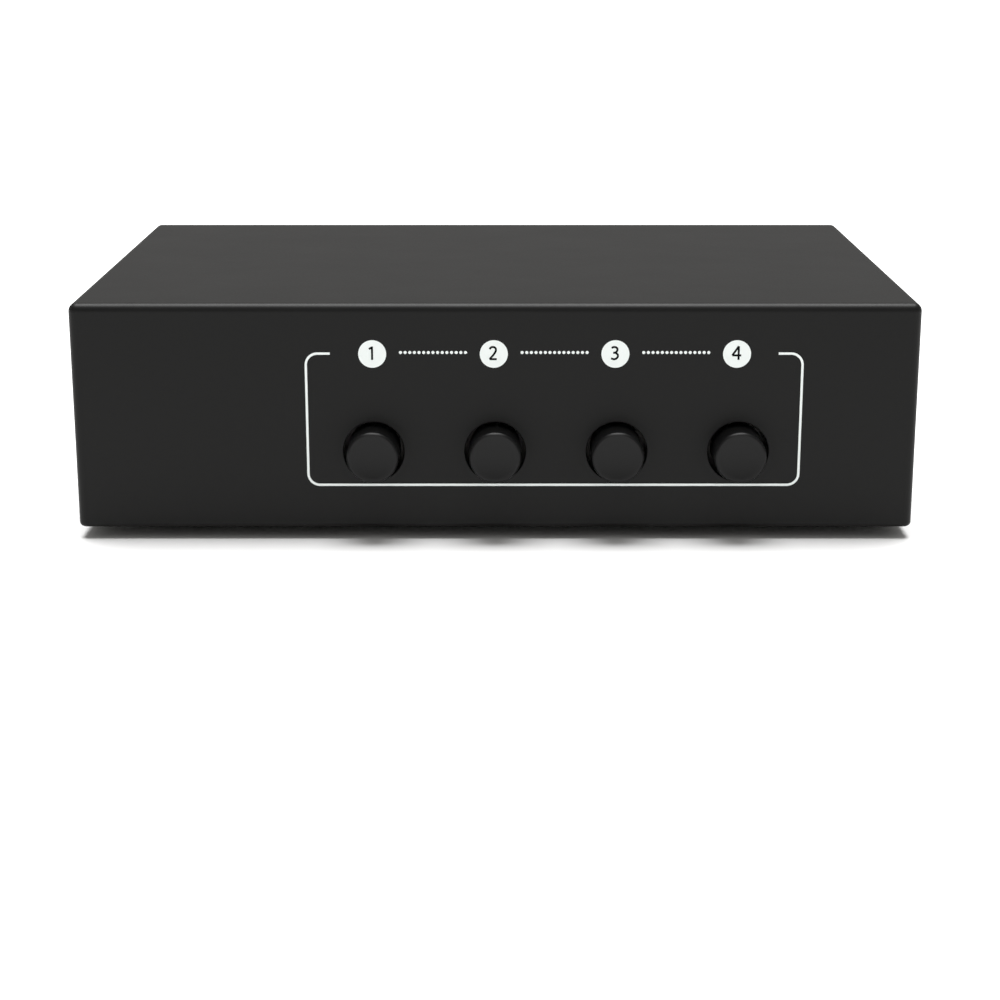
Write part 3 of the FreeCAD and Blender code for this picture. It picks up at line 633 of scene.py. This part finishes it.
# Making pieces: a shape is drawn in millimetres, and its mesh is brought to metres.
def finishPiece(bm, name, materials, body, replaced=(), sharp=35):
    bmesh.ops.scale(bm, verts=bm.verts, vec=[1 / perMetre] * 3)
    mesh = bpy.data.meshes.new(name)
    bm.to_mesh(mesh)
    bm.free()
    for material in materials:
        mesh.materials.append(material)
    mesh.shade_smooth()
    mesh.set_sharp_from_angle(angle=math.radians(sharp))
    piece = bpy.data.objects.new(name, mesh)
    bpy.context.scene.collection.objects.link(piece)
    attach(piece, body)
    if replaced:
        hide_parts(*replaced)
    return piece


# A shape that starts from a CAD node, as one closed surface in millimetres.
def copyNode(node):
    bm = bmesh.new()
    bm.from_mesh(nodes[node].data)
    bmesh.ops.scale(bm, verts=bm.verts, vec=[perMetre] * 3)
    bmesh.ops.remove_doubles(bm, verts=bm.verts, dist=samePoint)
    return bm


# What the vertices are joined to, each edge or face once and in a fixed order.
def joinedTo(verts, kind):
    return list(dict.fromkeys(item for vert in verts for item in getattr(vert, kind)))


# The next ring of a turned shape, drawn out of the last one.
def extrudeLoop(bm, loop):
    made = bmesh.ops.extrude_edge_only(bm, edges=loop)["geom"]
    verts = [item for item in made if isinstance(item, bmesh.types.BMVert)]
    edges = [item for item in made if isinstance(item, bmesh.types.BMEdge)]
    return edges, verts


# A turned shape: the profile has (radius, along, rounding) from the back, and spins about outward.
cornerSteps = 5


def turnProfile(bm, profile, place, outward, steps, closed=False):
    old = set(bm.verts)
    side = Vector((1, 0, 0))
    line = [bm.verts.new(place + side * radius + outward * along) for radius, along, _ in profile]
    pairs = list(zip(line, line[1:])) + ([(line[-1], line[0])] if closed else [])
    for pair in pairs:
        bm.edges.new(pair)
    for vert, (_, _, rounding) in zip(line, profile):
        if rounding:
            bmesh.ops.bevel(
                bm, geom=[vert], offset=rounding, offset_type="OFFSET", affect="VERTICES",
                segments=cornerSteps, profile=0.5, material=-1,
            )
    drawn = [vert for vert in bm.verts if vert not in old]
    bmesh.ops.spin(
        bm, geom=drawn + joinedTo(drawn, "link_edges"), cent=place, axis=outward, dvec=(0, 0, 0),
        angle=2 * math.pi, steps=steps, use_merge=True, use_duplicate=False,
    )
    made = [vert for vert in bm.verts if vert not in old]
    bmesh.ops.remove_doubles(bm, verts=made, dist=samePoint)
    faces = [face for face in bm.faces if face.verts[0] not in old]
    bmesh.ops.recalc_face_normals(bm, faces=faces)
    return faces


# Button caps: turned black caps with a bevelled rim and a shallow dish for the fingertip.
capSet = {
    "count": 4,
    "bevel": 0.34,
    "soften": 0.20,
    "crest": 0.03,
    "dish": 0.30,
    "dishRadius": 3.8,
    "rings": 9,
    "socket": 3.6,
    "socketDepth": 4.0,
    "wallRound": 0.15,
    "steps": 96,
}


def addCap(number):
    low, high = boxMm(f"button_{number}")
    radius, length = (high.x - low.x) / 2, high.y - low.y
    centre = (low + high) / 2
    shares = [1 - step / capSet["rings"] for step in range(capSet["rings"] + 1)]
    dish = [
        (capSet["dishRadius"] * share, length - capSet["dish"] * (1 - share ** 2), 0) for share in shares
    ]
    profile = [
        (0, capSet["socketDepth"], 0),
        (capSet["socket"], capSet["socketDepth"], 0),
        (capSet["socket"], 0, 0),
        (radius, 0, capSet["wallRound"]),
        (radius, length - capSet["bevel"], capSet["soften"]),
        (radius - capSet["bevel"], length, capSet["crest"]),
        *dish,
    ]
    bm = bmesh.new()
    turnProfile(bm, profile, Vector((centre.x, high.y, centre.z)), Vector((0, -1, 0)), capSet["steps"])
    finishPiece(
        bm, f"buttonCap_{number}", [buttonPlastic], f"push_button_{number}",
        [f"button_{number}"],
    )


for number in range(1, capSet["count"] + 1):
    addCap(number)
print("button caps turned")


# Springs: each is copied from its CAD node, which is hidden, and finished in spring steel.
def addSprings():
    for joint in frame["joints"]:
        for spring in joint["deforming_nodes"]:
            node, letter = spring["node"], spring["mode"][-1]
            anchor = sum(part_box(node), Vector()) / 2
            setattr(anchor, letter, spring[f"fixed_end_{letter}_m"])
            reach = max(abs(getattr(corner - anchor, letter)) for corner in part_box(node))
            piece = finishPiece(
                copyNode(node), pieceName(node), [springSteel], "root", [node], sharp=60
            )
            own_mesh(piece)


addSprings()
print("springs fitted")

# Socket inserts: a moulded ring with a softened edge, and a bore behind a funnelled mouth, painted near
# black inside as painted shade.
insertSet = {
    "edge": 0.12,
    "mouthRound": 0.08,
    "boreRound": 0.1,
    "proud": 0.54,
    "bore": 1.9,
    "boreDepth": 6.5,
    "chamber": 2.3,
    "steps": 72,
    "mouth": {"white": (2.4, 0.3), "red": (2.62, 1.0)},
}


def addInsert(color, socket, plastic):
    node = f"{color}_insert_{socket}"
    low, high = boxMm(node)
    centre, radius = (low + high) / 2, (high.x - low.x) / 2
    length = high.y - low.y + insertSet["proud"]
    mouthRadius, mouthDepth = insertSet["mouth"][color]
    floor = length - insertSet["proud"] - insertSet["boreDepth"]
    profile = [
        (insertSet["chamber"], 0, 0),
        (radius, 0, 0),
        (radius, length, insertSet["edge"]),
        (mouthRadius, length, insertSet["mouthRound"]),
        (insertSet["bore"], length - mouthDepth, insertSet["boreRound"]),
        (insertSet["bore"], floor, 0),
        (insertSet["chamber"], floor, 0),
    ]
    bm = bmesh.new()
    place = Vector((centre.x, low.y, centre.z))
    faces = turnProfile(bm, profile, place, Vector((0, 1, 0)), insertSet["steps"], closed=True)
    # faces deep in the bore get the painted bore shade
    for face in faces:
        middle = face.calc_center_median() - place
        deep = middle.y < length - mouthDepth and math.hypot(middle.x, middle.z) < insertSet["chamber"]
        face.material_index = 1 if deep else 0
    finishPiece(bm, pieceName(node), [plastic, darkBore], "root", [node])


socketNames = ("out", "1", "2", "3", "4")
for socket in socketNames:
    addInsert("white", socket, whitePlastic)
    addInsert("red", socket, redPlastic)
print("socket inserts turned")

# Socket shells: the tip is redrawn with a rolled corner, a cone down from the front, and a narrow flat.
tipSet = {
    "around": 5.0,
    "cut": 1.4,
    "roll": 0.42,
    "steps": 7,
    "slope": 23.0,
    "flat": 0.34,
    "flatRound": (0.06, 0.03),
    "edge": 0.1,
    "edgeRound": 0.3,
}


def reachFrom(edge, centre):
    return max(math.hypot(vert.co.x - centre.x, vert.co.z - centre.z) for vert in edge.verts)


def tipRings(outer, inner):
    # rings from the outer wall to the bore, as (radius, along)
    slope, roll, edge = math.radians(tipSet["slope"]), tipSet["roll"], tipSet["edge"]
    flatEnd = inner + tipSet["flat"]
    # the cone drops by this much between the flat and the place where the roll takes over
    drop = (outer - roll * (1 - math.sin(slope)) - flatEnd) * math.tan(slope)
    rings = []
    for step in range(tipSet["steps"] + 1):
        turn = slope + (math.pi / 2 - slope) * (1 - step / tipSet["steps"])
        down = roll * (math.cos(slope) - math.cos(turn)) + drop
        rings.append((outer - roll * (1 - math.sin(turn)), -down))
    before, behind = tipSet["flatRound"]
    rings += [(flatEnd + before, -behind), (flatEnd - behind, 0)]
    rings += [(inner + edge, 0), (inner + edge * tipSet["edgeRound"], -edge * tipSet["edgeRound"])]
    return rings + [(inner, -edge)]


def addShells(socket):
    node = f"phono_shells_{socket}"
    tip = boxMm(node)[1].y
    bm = copyNode(node)
    cut = bmesh.ops.bisect_plane(
        bm, geom=bm.verts[:] + bm.edges[:] + bm.faces[:], dist=samePlane, clear_outer=True,
        plane_co=(0, tip - tipSet["cut"], 0), plane_no=(0, 1, 0),
    )["geom_cut"]
    edges = [item for item in cut if isinstance(item, bmesh.types.BMEdge)]
    for color in ("white", "red"):
        low, high = boxMm(f"{color}_insert_{socket}")
        centre = (low + high) / 2
        reach = {edge: reachFrom(edge, centre) for edge in edges if edge.is_valid}
        around = [edge for edge in reach if reach[edge] < tipSet["around"]]
        outer, inner = max(reach[edge] for edge in around), min(reach[edge] for edge in around)
        loop = [edge for edge in around if reach[edge] > (outer + inner) / 2]
        bore = [edge for edge in around if edge not in loop]
        radius = outer
        for ringRadius, along in tipRings(outer, inner):
            loop, verts = extrudeLoop(bm, loop)
            share = ringRadius / radius
            bmesh.ops.scale(bm, verts=verts, vec=(share, 1, share), space=Matrix.Translation(-centre))
            for vert in verts:
                vert.co.y = tip + along
            radius = ringRadius
        bmesh.ops.bridge_loops(bm, edges=loop + bore)
    bmesh.ops.recalc_face_normals(bm, faces=bm.faces)
    finishPiece(bm, pieceName(node), [shellNickel], "root", [node])


for socket in socketNames:
    addShells(socket)
print("socket shells rolled")

# Jack sockets: the moulded body with its bore opened a little at the mouth, which leaves a thin rim.
jackSet = {"bore": 1.8, "mouth": 2.02, "deep": 0.9, "axis": 4.5, "slack": 0.02}


def addJack(socket):
    node = f"jack_body_{socket}"
    low, high = boxMm(node)
    place = Vector(((low.x + high.x) / 2, high.y, low.z + jackSet["axis"]))
    bm = copyNode(node)
    bmesh.ops.bisect_plane(
        bm, geom=bm.verts[:] + bm.edges[:] + bm.faces[:], dist=samePlane,
        plane_co=place - Vector((0, jackSet["deep"], 0)), plane_no=(0, 1, 0),
    )
    mouth, slack = [], jackSet["slack"]
    for vert in bm.verts:
        off = vert.co - place
        if abs(off.y) < slack and math.hypot(off.x, off.z) < jackSet["bore"] + slack:
            mouth.append(vert)
    share = jackSet["mouth"] / jackSet["bore"]
    bmesh.ops.scale(bm, verts=mouth, vec=(share, 1, share), space=Matrix.Translation(-place))
    finishPiece(bm, pieceName(node), [jackPlastic], "root", [node])


for socket in socketNames:
    addJack(socket)
print("jack sockets opened")

# Printed ink: drawn flat, as seen by someone who faces the panel, then laid on the front or the rear.
inkSet = {"thick": 0.03, "sunk": 0.01, "bends": 6, "sides": 2}
frontFace = boxMm("cover")[0].y
rearFace = boxMm("base_tray")[1].y
onFront = Matrix(((1, 0, 0, 0), (0, 0, -1, frontFace), (0, 1, 0, 0), (0, 0, 0, 1)))
onRear = Matrix(((-1, 0, 0, 0), (0, 0, 1, rearFace), (0, 1, 0, 0), (0, 0, 0, 1)))


def finishInk(bm, name, ink, panel, lift=0.0):
    # flat faces at height 0 become a thin layer with its lower side just inside the paint
    flat = bm.faces[:]
    bmesh.ops.recalc_face_normals(bm, faces=flat)
    if flat[0].normal.z < 0:
        bmesh.ops.reverse_faces(bm, faces=flat)
    raised = bmesh.ops.extrude_face_region(bm, geom=flat, use_keep_orig=True)
    verts = [item for item in raised["geom"] if isinstance(item, bmesh.types.BMVert)]
    bmesh.ops.translate(bm, verts=verts, vec=(0, 0, inkSet["thick"] + inkSet["sunk"]))
    bmesh.ops.recalc_face_normals(bm, faces=bm.faces)
    bmesh.ops.translate(bm, verts=bm.verts, vec=(0, 0, lift - inkSet["sunk"]))
    bmesh.ops.transform(bm, matrix=panel, verts=bm.verts)
    return finishPiece(bm, name, [ink], "root")


# The line round the buttons, open at the top between two short stubs.
frontLineSet = {
    "left": -31.15,
    "right": 50.57,
    "top": 31.77,
    "bottom": 9.46,
    "corner": 1.9,
    "cornerSteps": 10,
    "width": 0.39,
    "stub": 3.98,
}


def addFrontLine():
    left, right = frontLineSet["left"], frontLineSet["right"]
    bottom, top = frontLineSet["bottom"], frontLineSet["top"]
    half = frontLineSet["width"] / 2
    bm = bmesh.new()
    bmesh.ops.create_grid(bm, x_segments=1, y_segments=1, size=0.5)
    bmesh.ops.scale(bm, verts=bm.verts, vec=(right - left + 2 * half, top - bottom + 2 * half, 1))
    bmesh.ops.translate(bm, verts=bm.verts, vec=((left + right) / 2, (bottom + top) / 2, 0))
    bmesh.ops.bevel(
        bm, geom=bm.verts[:], offset=frontLineSet["corner"] + half, offset_type="OFFSET",
        affect="VERTICES", segments=frontLineSet["cornerSteps"], profile=0.5, material=-1,
    )
    bmesh.ops.inset_individual(bm, faces=bm.faces[:], thickness=2 * half, use_even_offset=True)
    inside = max(bm.faces, key=lambda face: face.calc_area())
    bmesh.ops.delete(bm, geom=[inside], context="FACES")
    gapStart, gapEnd = left + frontLineSet["stub"], right - frontLineSet["stub"]
    for cut in (gapStart, gapEnd):
        bmesh.ops.bisect_plane(
            bm, geom=bm.verts[:] + bm.edges[:] + bm.faces[:], dist=samePlane,
            plane_co=(cut, 0, 0), plane_no=(1, 0, 0),
        )
    gap = []
    for face in bm.faces:
        place = face.calc_center_median()
        if place.y > (bottom + top) / 2 and gapStart < place.x < gapEnd:
            gap.append(face)
    bmesh.ops.delete(bm, geom=gap, context="FACES")
    finishInk(bm, "frontLine", whiteInk, onFront)


addFrontLine()

# Number discs over the buttons, joined by rows of dots.
discSet = {"first": -20.2, "pitch": 19.98, "height": 31.7, "radius": 2.3, "steps": 64}
dotSet = {"count": 15, "pitch": 0.763, "radius": 0.26, "height": 31.95, "steps": 16}
discPlaces = [discSet["first"] + discSet["pitch"] * index for index in range(capSet["count"])]


def addCircle(bm, x, y, radius, steps):
    bmesh.ops.create_circle(
        bm, cap_ends=True, segments=steps, radius=radius, matrix=Matrix.Translation((x, y, 0))
    )


def addDiscs():
    bm = bmesh.new()
    for x in discPlaces:
        addCircle(bm, x, discSet["height"], discSet["radius"], discSet["steps"])
    finishInk(bm, "numberDiscs", whiteInk, onFront)


def addDots():
    bm = bmesh.new()
    for left, right in zip(discPlaces, discPlaces[1:]):
        for index in range(dotSet["count"]):
            x = (left + right) / 2 + (index - (dotSet["count"] - 1) / 2) * dotSet["pitch"]
            addCircle(bm, x, dotSet["height"], dotSet["radius"], dotSet["steps"])
    finishInk(bm, "linkDots", whiteInk, onFront)


addDiscs()
addDots()

# Numerals and signs: strokes on a grid one unit high. A stroke is smooth where it is marked True.
waveSet = {"step": 0.45, "count": 9, "rise": 0.42}
strokeShapes = {
    "1": [(False, [(0.12, 0.83), (0.37, 0.98)]), (False, [(0.37, 1.04), (0.37, -0.06)])],
    "2": [
        (True, [(0.04, 0.82), (0.14, 0.95), (0.31, 1.0), (0.49, 0.93), (0.55, 0.74), (0.45, 0.50),
                (0.04, 0.0)]),
        (False, [(0.03, 0.0), (0.62, 0.0)]),
    ],
    "3": [
        (True, [(0.06, 0.93), (0.29, 1.0), (0.50, 0.91), (0.52, 0.70), (0.38, 0.55), (0.20, 0.525)]),
        (True, [(0.20, 0.525), (0.42, 0.50), (0.58, 0.31), (0.49, 0.08), (0.27, 0.0), (0.03, 0.06)]),
    ],
    "4": [(False, [(0.51, -0.06), (0.51, 1.06), (0.0, 0.31), (0.72, 0.31)])],
    "in": [
        (False, [(0.0, 0.5), (0.95, 0.5)]),
        (False, [(0.62, 0.80), (0.95, 0.5), (0.62, 0.20)]),
        (False, [(1.25, 1.0), (1.25, 0.0)]),
    ],
    "out": [
        (False, [(0.0, 1.0), (0.0, 0.0)]),
        (False, [(0.30, 0.5), (1.25, 0.5)]),
        (False, [(0.92, 0.80), (1.25, 0.5), (0.92, 0.20)]),
    ],
    "wave": [
        (
            True,
            [
                (waveSet["step"] * step, 0.5 + waveSet["rise"] * math.sin(math.pi / 2 * step))
                for step in range(waveSet["count"])
            ],
        )
    ],
}


def drawStrokes(name, marks, height, width, ink, panel, lift=0.0):
    # marks are (shape, x of its left edge, y of its foot)
    drawing = bpy.data.curves.new(name, "CURVE")
    drawing.dimensions = "3D"
    drawing.bevel_depth = width / 2
    drawing.bevel_resolution = inkSet["sides"]
    drawing.use_fill_caps = True
    drawing.resolution_u = inkSet["bends"]
    for shape, left, foot in marks:
        for smooth, points in strokeShapes[shape]:
            # straight strokes are drawn one by one, which keeps their width up to the corners
            for part in [points] if smooth else zip(points, points[1:]):
                spline = drawing.splines.new("BEZIER")
                spline.bezier_points.add(len(part) - 1)
                for point, (x, y) in zip(spline.bezier_points, part):
                    point.co = (left + x * height, foot + y * height, 0)
                    point.handle_left_type = point.handle_right_type = "AUTO" if smooth else "VECTOR"
    holder = bpy.data.objects.new(name, drawing)
    bpy.context.scene.collection.objects.link(holder)
    bpy.context.view_layer.update()
    bm = bmesh.new()
    bm.from_mesh(bpy.data.meshes.new_from_object(holder))
    bpy.data.objects.remove(holder)
    bpy.data.curves.remove(drawing)
    # a round stroke is pressed flat into a thin layer of ink
    flat = (inkSet["thick"] + inkSet["sunk"]) / width
    bmesh.ops.scale(bm, verts=bm.verts, vec=(1, 1, flat))
    bmesh.ops.translate(bm, verts=bm.verts, vec=(0, 0, (inkSet["thick"] - inkSet["sunk"]) / 2 + lift))
    bmesh.ops.remove_doubles(bm, verts=bm.verts, dist=samePoint)
    bmesh.ops.transform(bm, matrix=panel, verts=bm.verts)
    return finishPiece(bm, name, [ink], "root", sharp=60)


numeralSet = {"height": 2.03, "stroke": 0.34, "middle": 0.38, "foot": -0.86}


def addNumerals():
    height, stroke = numeralSet["height"], numeralSet["stroke"]
    foot = discSet["height"] + numeralSet["foot"]
    shift = numeralSet["middle"] * height
    marks = [(str(index + 1), x - shift, foot) for index, x in enumerate(discPlaces)]
    drawStrokes("discNumerals", marks, height, stroke, blackInk, onFront, inkSet["thick"])


addNumerals()
print("front panel printed")

# Rear print: one cell for each group of sockets, with a strip below for its sign.
rearSet = {
    "cell": 25.3,
    "top": 35.93,
    "strip": 7.57,
    "bottom": 3.62,
    "width": 0.35,
    "sign": 2.27,
    "stroke": 0.33,
    "numeral": 8.3,
    "arrow": 3.2,
    "wave": -8.2,
}
groupCount = len(socketNames)
groupPlaces = [(index - (groupCount - 1) / 2) * rearSet["cell"] for index in range(groupCount)]


def addRearLines():
    half, bottom, top = rearSet["width"] / 2, rearSet["bottom"], rearSet["top"]
    columns = [(index - groupCount / 2) * rearSet["cell"] for index in range(groupCount + 1)]
    columns = [columns[0] - half, *columns, columns[-1] + half]
    rows = [bottom - half, bottom, rearSet["strip"], top, top + half]
    bm = bmesh.new()
    bmesh.ops.create_grid(bm, x_segments=len(columns) - 1, y_segments=len(rows) - 1, size=0.5)
    for vert in bm.verts:
        vert.co.x = columns[round((vert.co.x + 0.5) * (len(columns) - 1))]
        vert.co.y = rows[round((vert.co.y + 0.5) * (len(rows) - 1))]
    cells = [
        face for face in bm.faces
        if min(edge.calc_length() for edge in face.edges) > rearSet["width"]
    ]
    bmesh.ops.inset_individual(bm, faces=cells, thickness=half, use_even_offset=True)
    bmesh.ops.delete(bm, geom=cells, context="FACES")
    finishInk(bm, "rearLines", whiteInk, onRear)


def addRearSigns():
    foot = (rearSet["strip"] + rearSet["bottom"]) / 2 - rearSet["sign"] / 2
    marks = []
    for middle, socket in zip(groupPlaces, reversed(socketNames)):
        marks.append(("wave", middle + rearSet["wave"], foot))
        if socket == "out":
            marks.append(("out", middle + rearSet["arrow"], foot))
        else:
            marks.append(("in", middle + rearSet["arrow"], foot))
            marks.append((socket, middle + rearSet["numeral"], foot))
    drawStrokes("rearSigns", marks, rearSet["sign"], rearSet["stroke"], whiteInk, onRear)


addRearLines()
addRearSigns()
print("rear panel printed")

# Panel screws: a rounded head with a deep cross whose arms end round and narrow towards the bottom.
screwSet = {
    "head": 2.15,
    "dome": 1.4,
    "round": 0.5,
    "roundSteps": 6,
    "reach": 1.53,
    "arm": 0.98,
    "armRound": 0.34,
    "armSteps": 4,
    "mouth": (0.05, 0.96),
    "bottom": (1.2, 0.5),
    "twist": -27,
    "shank": 1.2,
    "length": 7.0,
    "offset": -2.55,
    "height": 22.6,
    "steps": 48,
}


def addScrew(bm, place):
    old = set(bm.verts)
    roll = screwSet["round"]
    flat = screwSet["head"] - roll
    grid = bmesh.ops.create_grid(bm, x_segments=3, y_segments=3, size=0.5)["verts"]
    lines = (-screwSet["reach"], -screwSet["arm"] / 2, screwSet["arm"] / 2, screwSet["reach"])
    for vert in grid:
        vert.co.x = lines[round((vert.co.x + 0.5) * 3)]
        vert.co.y = lines[round((vert.co.y + 0.5) * 3)]
    cells = joinedTo(grid, "link_faces")
    far = screwSet["arm"] / 2
    corners = [
        face for face in cells
        if min(abs(face.calc_center_median().x), abs(face.calc_center_median().y)) > far
    ]
    bmesh.ops.delete(bm, geom=corners, context="FACES")
    cross = bmesh.ops.dissolve_faces(bm, faces=[face for face in cells if face.is_valid])["region"][0]
    half = (far + screwSet["reach"]) / 2
    ends = [vert for vert in cross.verts if max(abs(vert.co.x), abs(vert.co.y)) > half]
    bmesh.ops.bevel(
        bm, geom=ends, offset=screwSet["armRound"], offset_type="OFFSET", affect="VERTICES",
        segments=screwSet["armSteps"], profile=0.5, material=-1,
    )
    cross = next(face for face in bm.faces if face.verts[0] not in old)
    # in a fixed order, because the flat head's triangles follow the order of its edges
    mouth = sorted(cross.edges, key=lambda edge: tuple(edge.verts[0].co + edge.verts[1].co))
    rim = bmesh.ops.create_circle(bm, segments=screwSet["steps"], radius=flat)["verts"]
    rimEdges = joinedTo(rim, "link_edges")
    bmesh.ops.triangle_fill(bm, edges=mouth + rimEdges, use_beauty=False)
    # the recess goes down from its softened mouth, as (depth, share of its width), and is painted near
    # black inside as painted shade
    for depth, share in (screwSet["mouth"], screwSet["bottom"]):
        made = bmesh.ops.extrude_face_region(bm, geom=[cross])["geom"]
        bmesh.ops.delete(bm, geom=[cross], context="FACES_ONLY")
        cross = next(item for item in made if isinstance(item, bmesh.types.BMFace))
        bmesh.ops.scale(bm, verts=cross.verts, vec=(share, share, 1))
        for vert in cross.verts:
            vert.co.z = -depth
    # painted shade in the recess
    for face in joinedTo(cross.verts, "link_faces"):
        face.material_index = 1
    # the head's side rolls down from the flat top, and the shank goes on below it
    rings = []
    for step in range(1, screwSet["roundSteps"] + 1):
        turn = math.pi / 2 * step / screwSet["roundSteps"]
        rings.append((flat + roll * math.sin(turn), roll * (math.cos(turn) - 1)))
    rings += [
        (screwSet["head"], -screwSet["dome"]),
        (screwSet["shank"], -screwSet["dome"]),
        (screwSet["shank"], -screwSet["dome"] - screwSet["length"]),
    ]
    loop, radius = rimEdges, flat
    for ringRadius, height in rings:
        loop, verts = extrudeLoop(bm, loop)
        bmesh.ops.scale(bm, verts=verts, vec=(ringRadius / radius, ringRadius / radius, 1))
        for vert in verts:
            vert.co.z = height
        radius = ringRadius
    bmesh.ops.contextual_create(bm, geom=loop)
    drawn = [vert for vert in bm.verts if vert not in old]
    bmesh.ops.recalc_face_normals(bm, faces=joinedTo(drawn, "link_faces"))
    twist = Matrix.Rotation(math.radians(screwSet["twist"]), 4, "Z")
    facing = onRear.to_3x3().to_4x4()
    bmesh.ops.transform(bm, matrix=Matrix.Translation(place) @ facing @ twist, verts=drawn)


def addPanelScrews():
    bm = bmesh.new()
    tip = boxMm("panel_screws")[1].y
    for middle in groupPlaces:
        addScrew(bm, Vector((middle + screwSet["offset"], tip, screwSet["height"])))
    finishPiece(
        bm, "panelScrews", [blackSteel, darkBore], "root", ["panel_screws"], sharp=40
    )


addPanelScrews()
print("panel screws made")


# Floor: one plain pale sheet.
def addFloor():
    bm = bmesh.new()
    bmesh.ops.create_grid(bm, x_segments=1, y_segments=1, size=studioSet["floorSide"] / 2)
    mesh = bpy.data.meshes.new("floor")
    bm.to_mesh(mesh)
    bm.free()
    material, _, shader = newMaterial("floorPaper")
    shader.inputs["Base Color"].default_value = (*studioSet["floorColor"], 1)
    shader.inputs["Roughness"].default_value = studioSet["floorRoughness"]
    shader.inputs["Specular IOR Level"].default_value = studioSet["floorShine"]
    mesh.materials.append(material)
    floor = bpy.data.objects.new("floor", mesh)
    bpy.context.scene.collection.objects.link(floor)


addFloor()
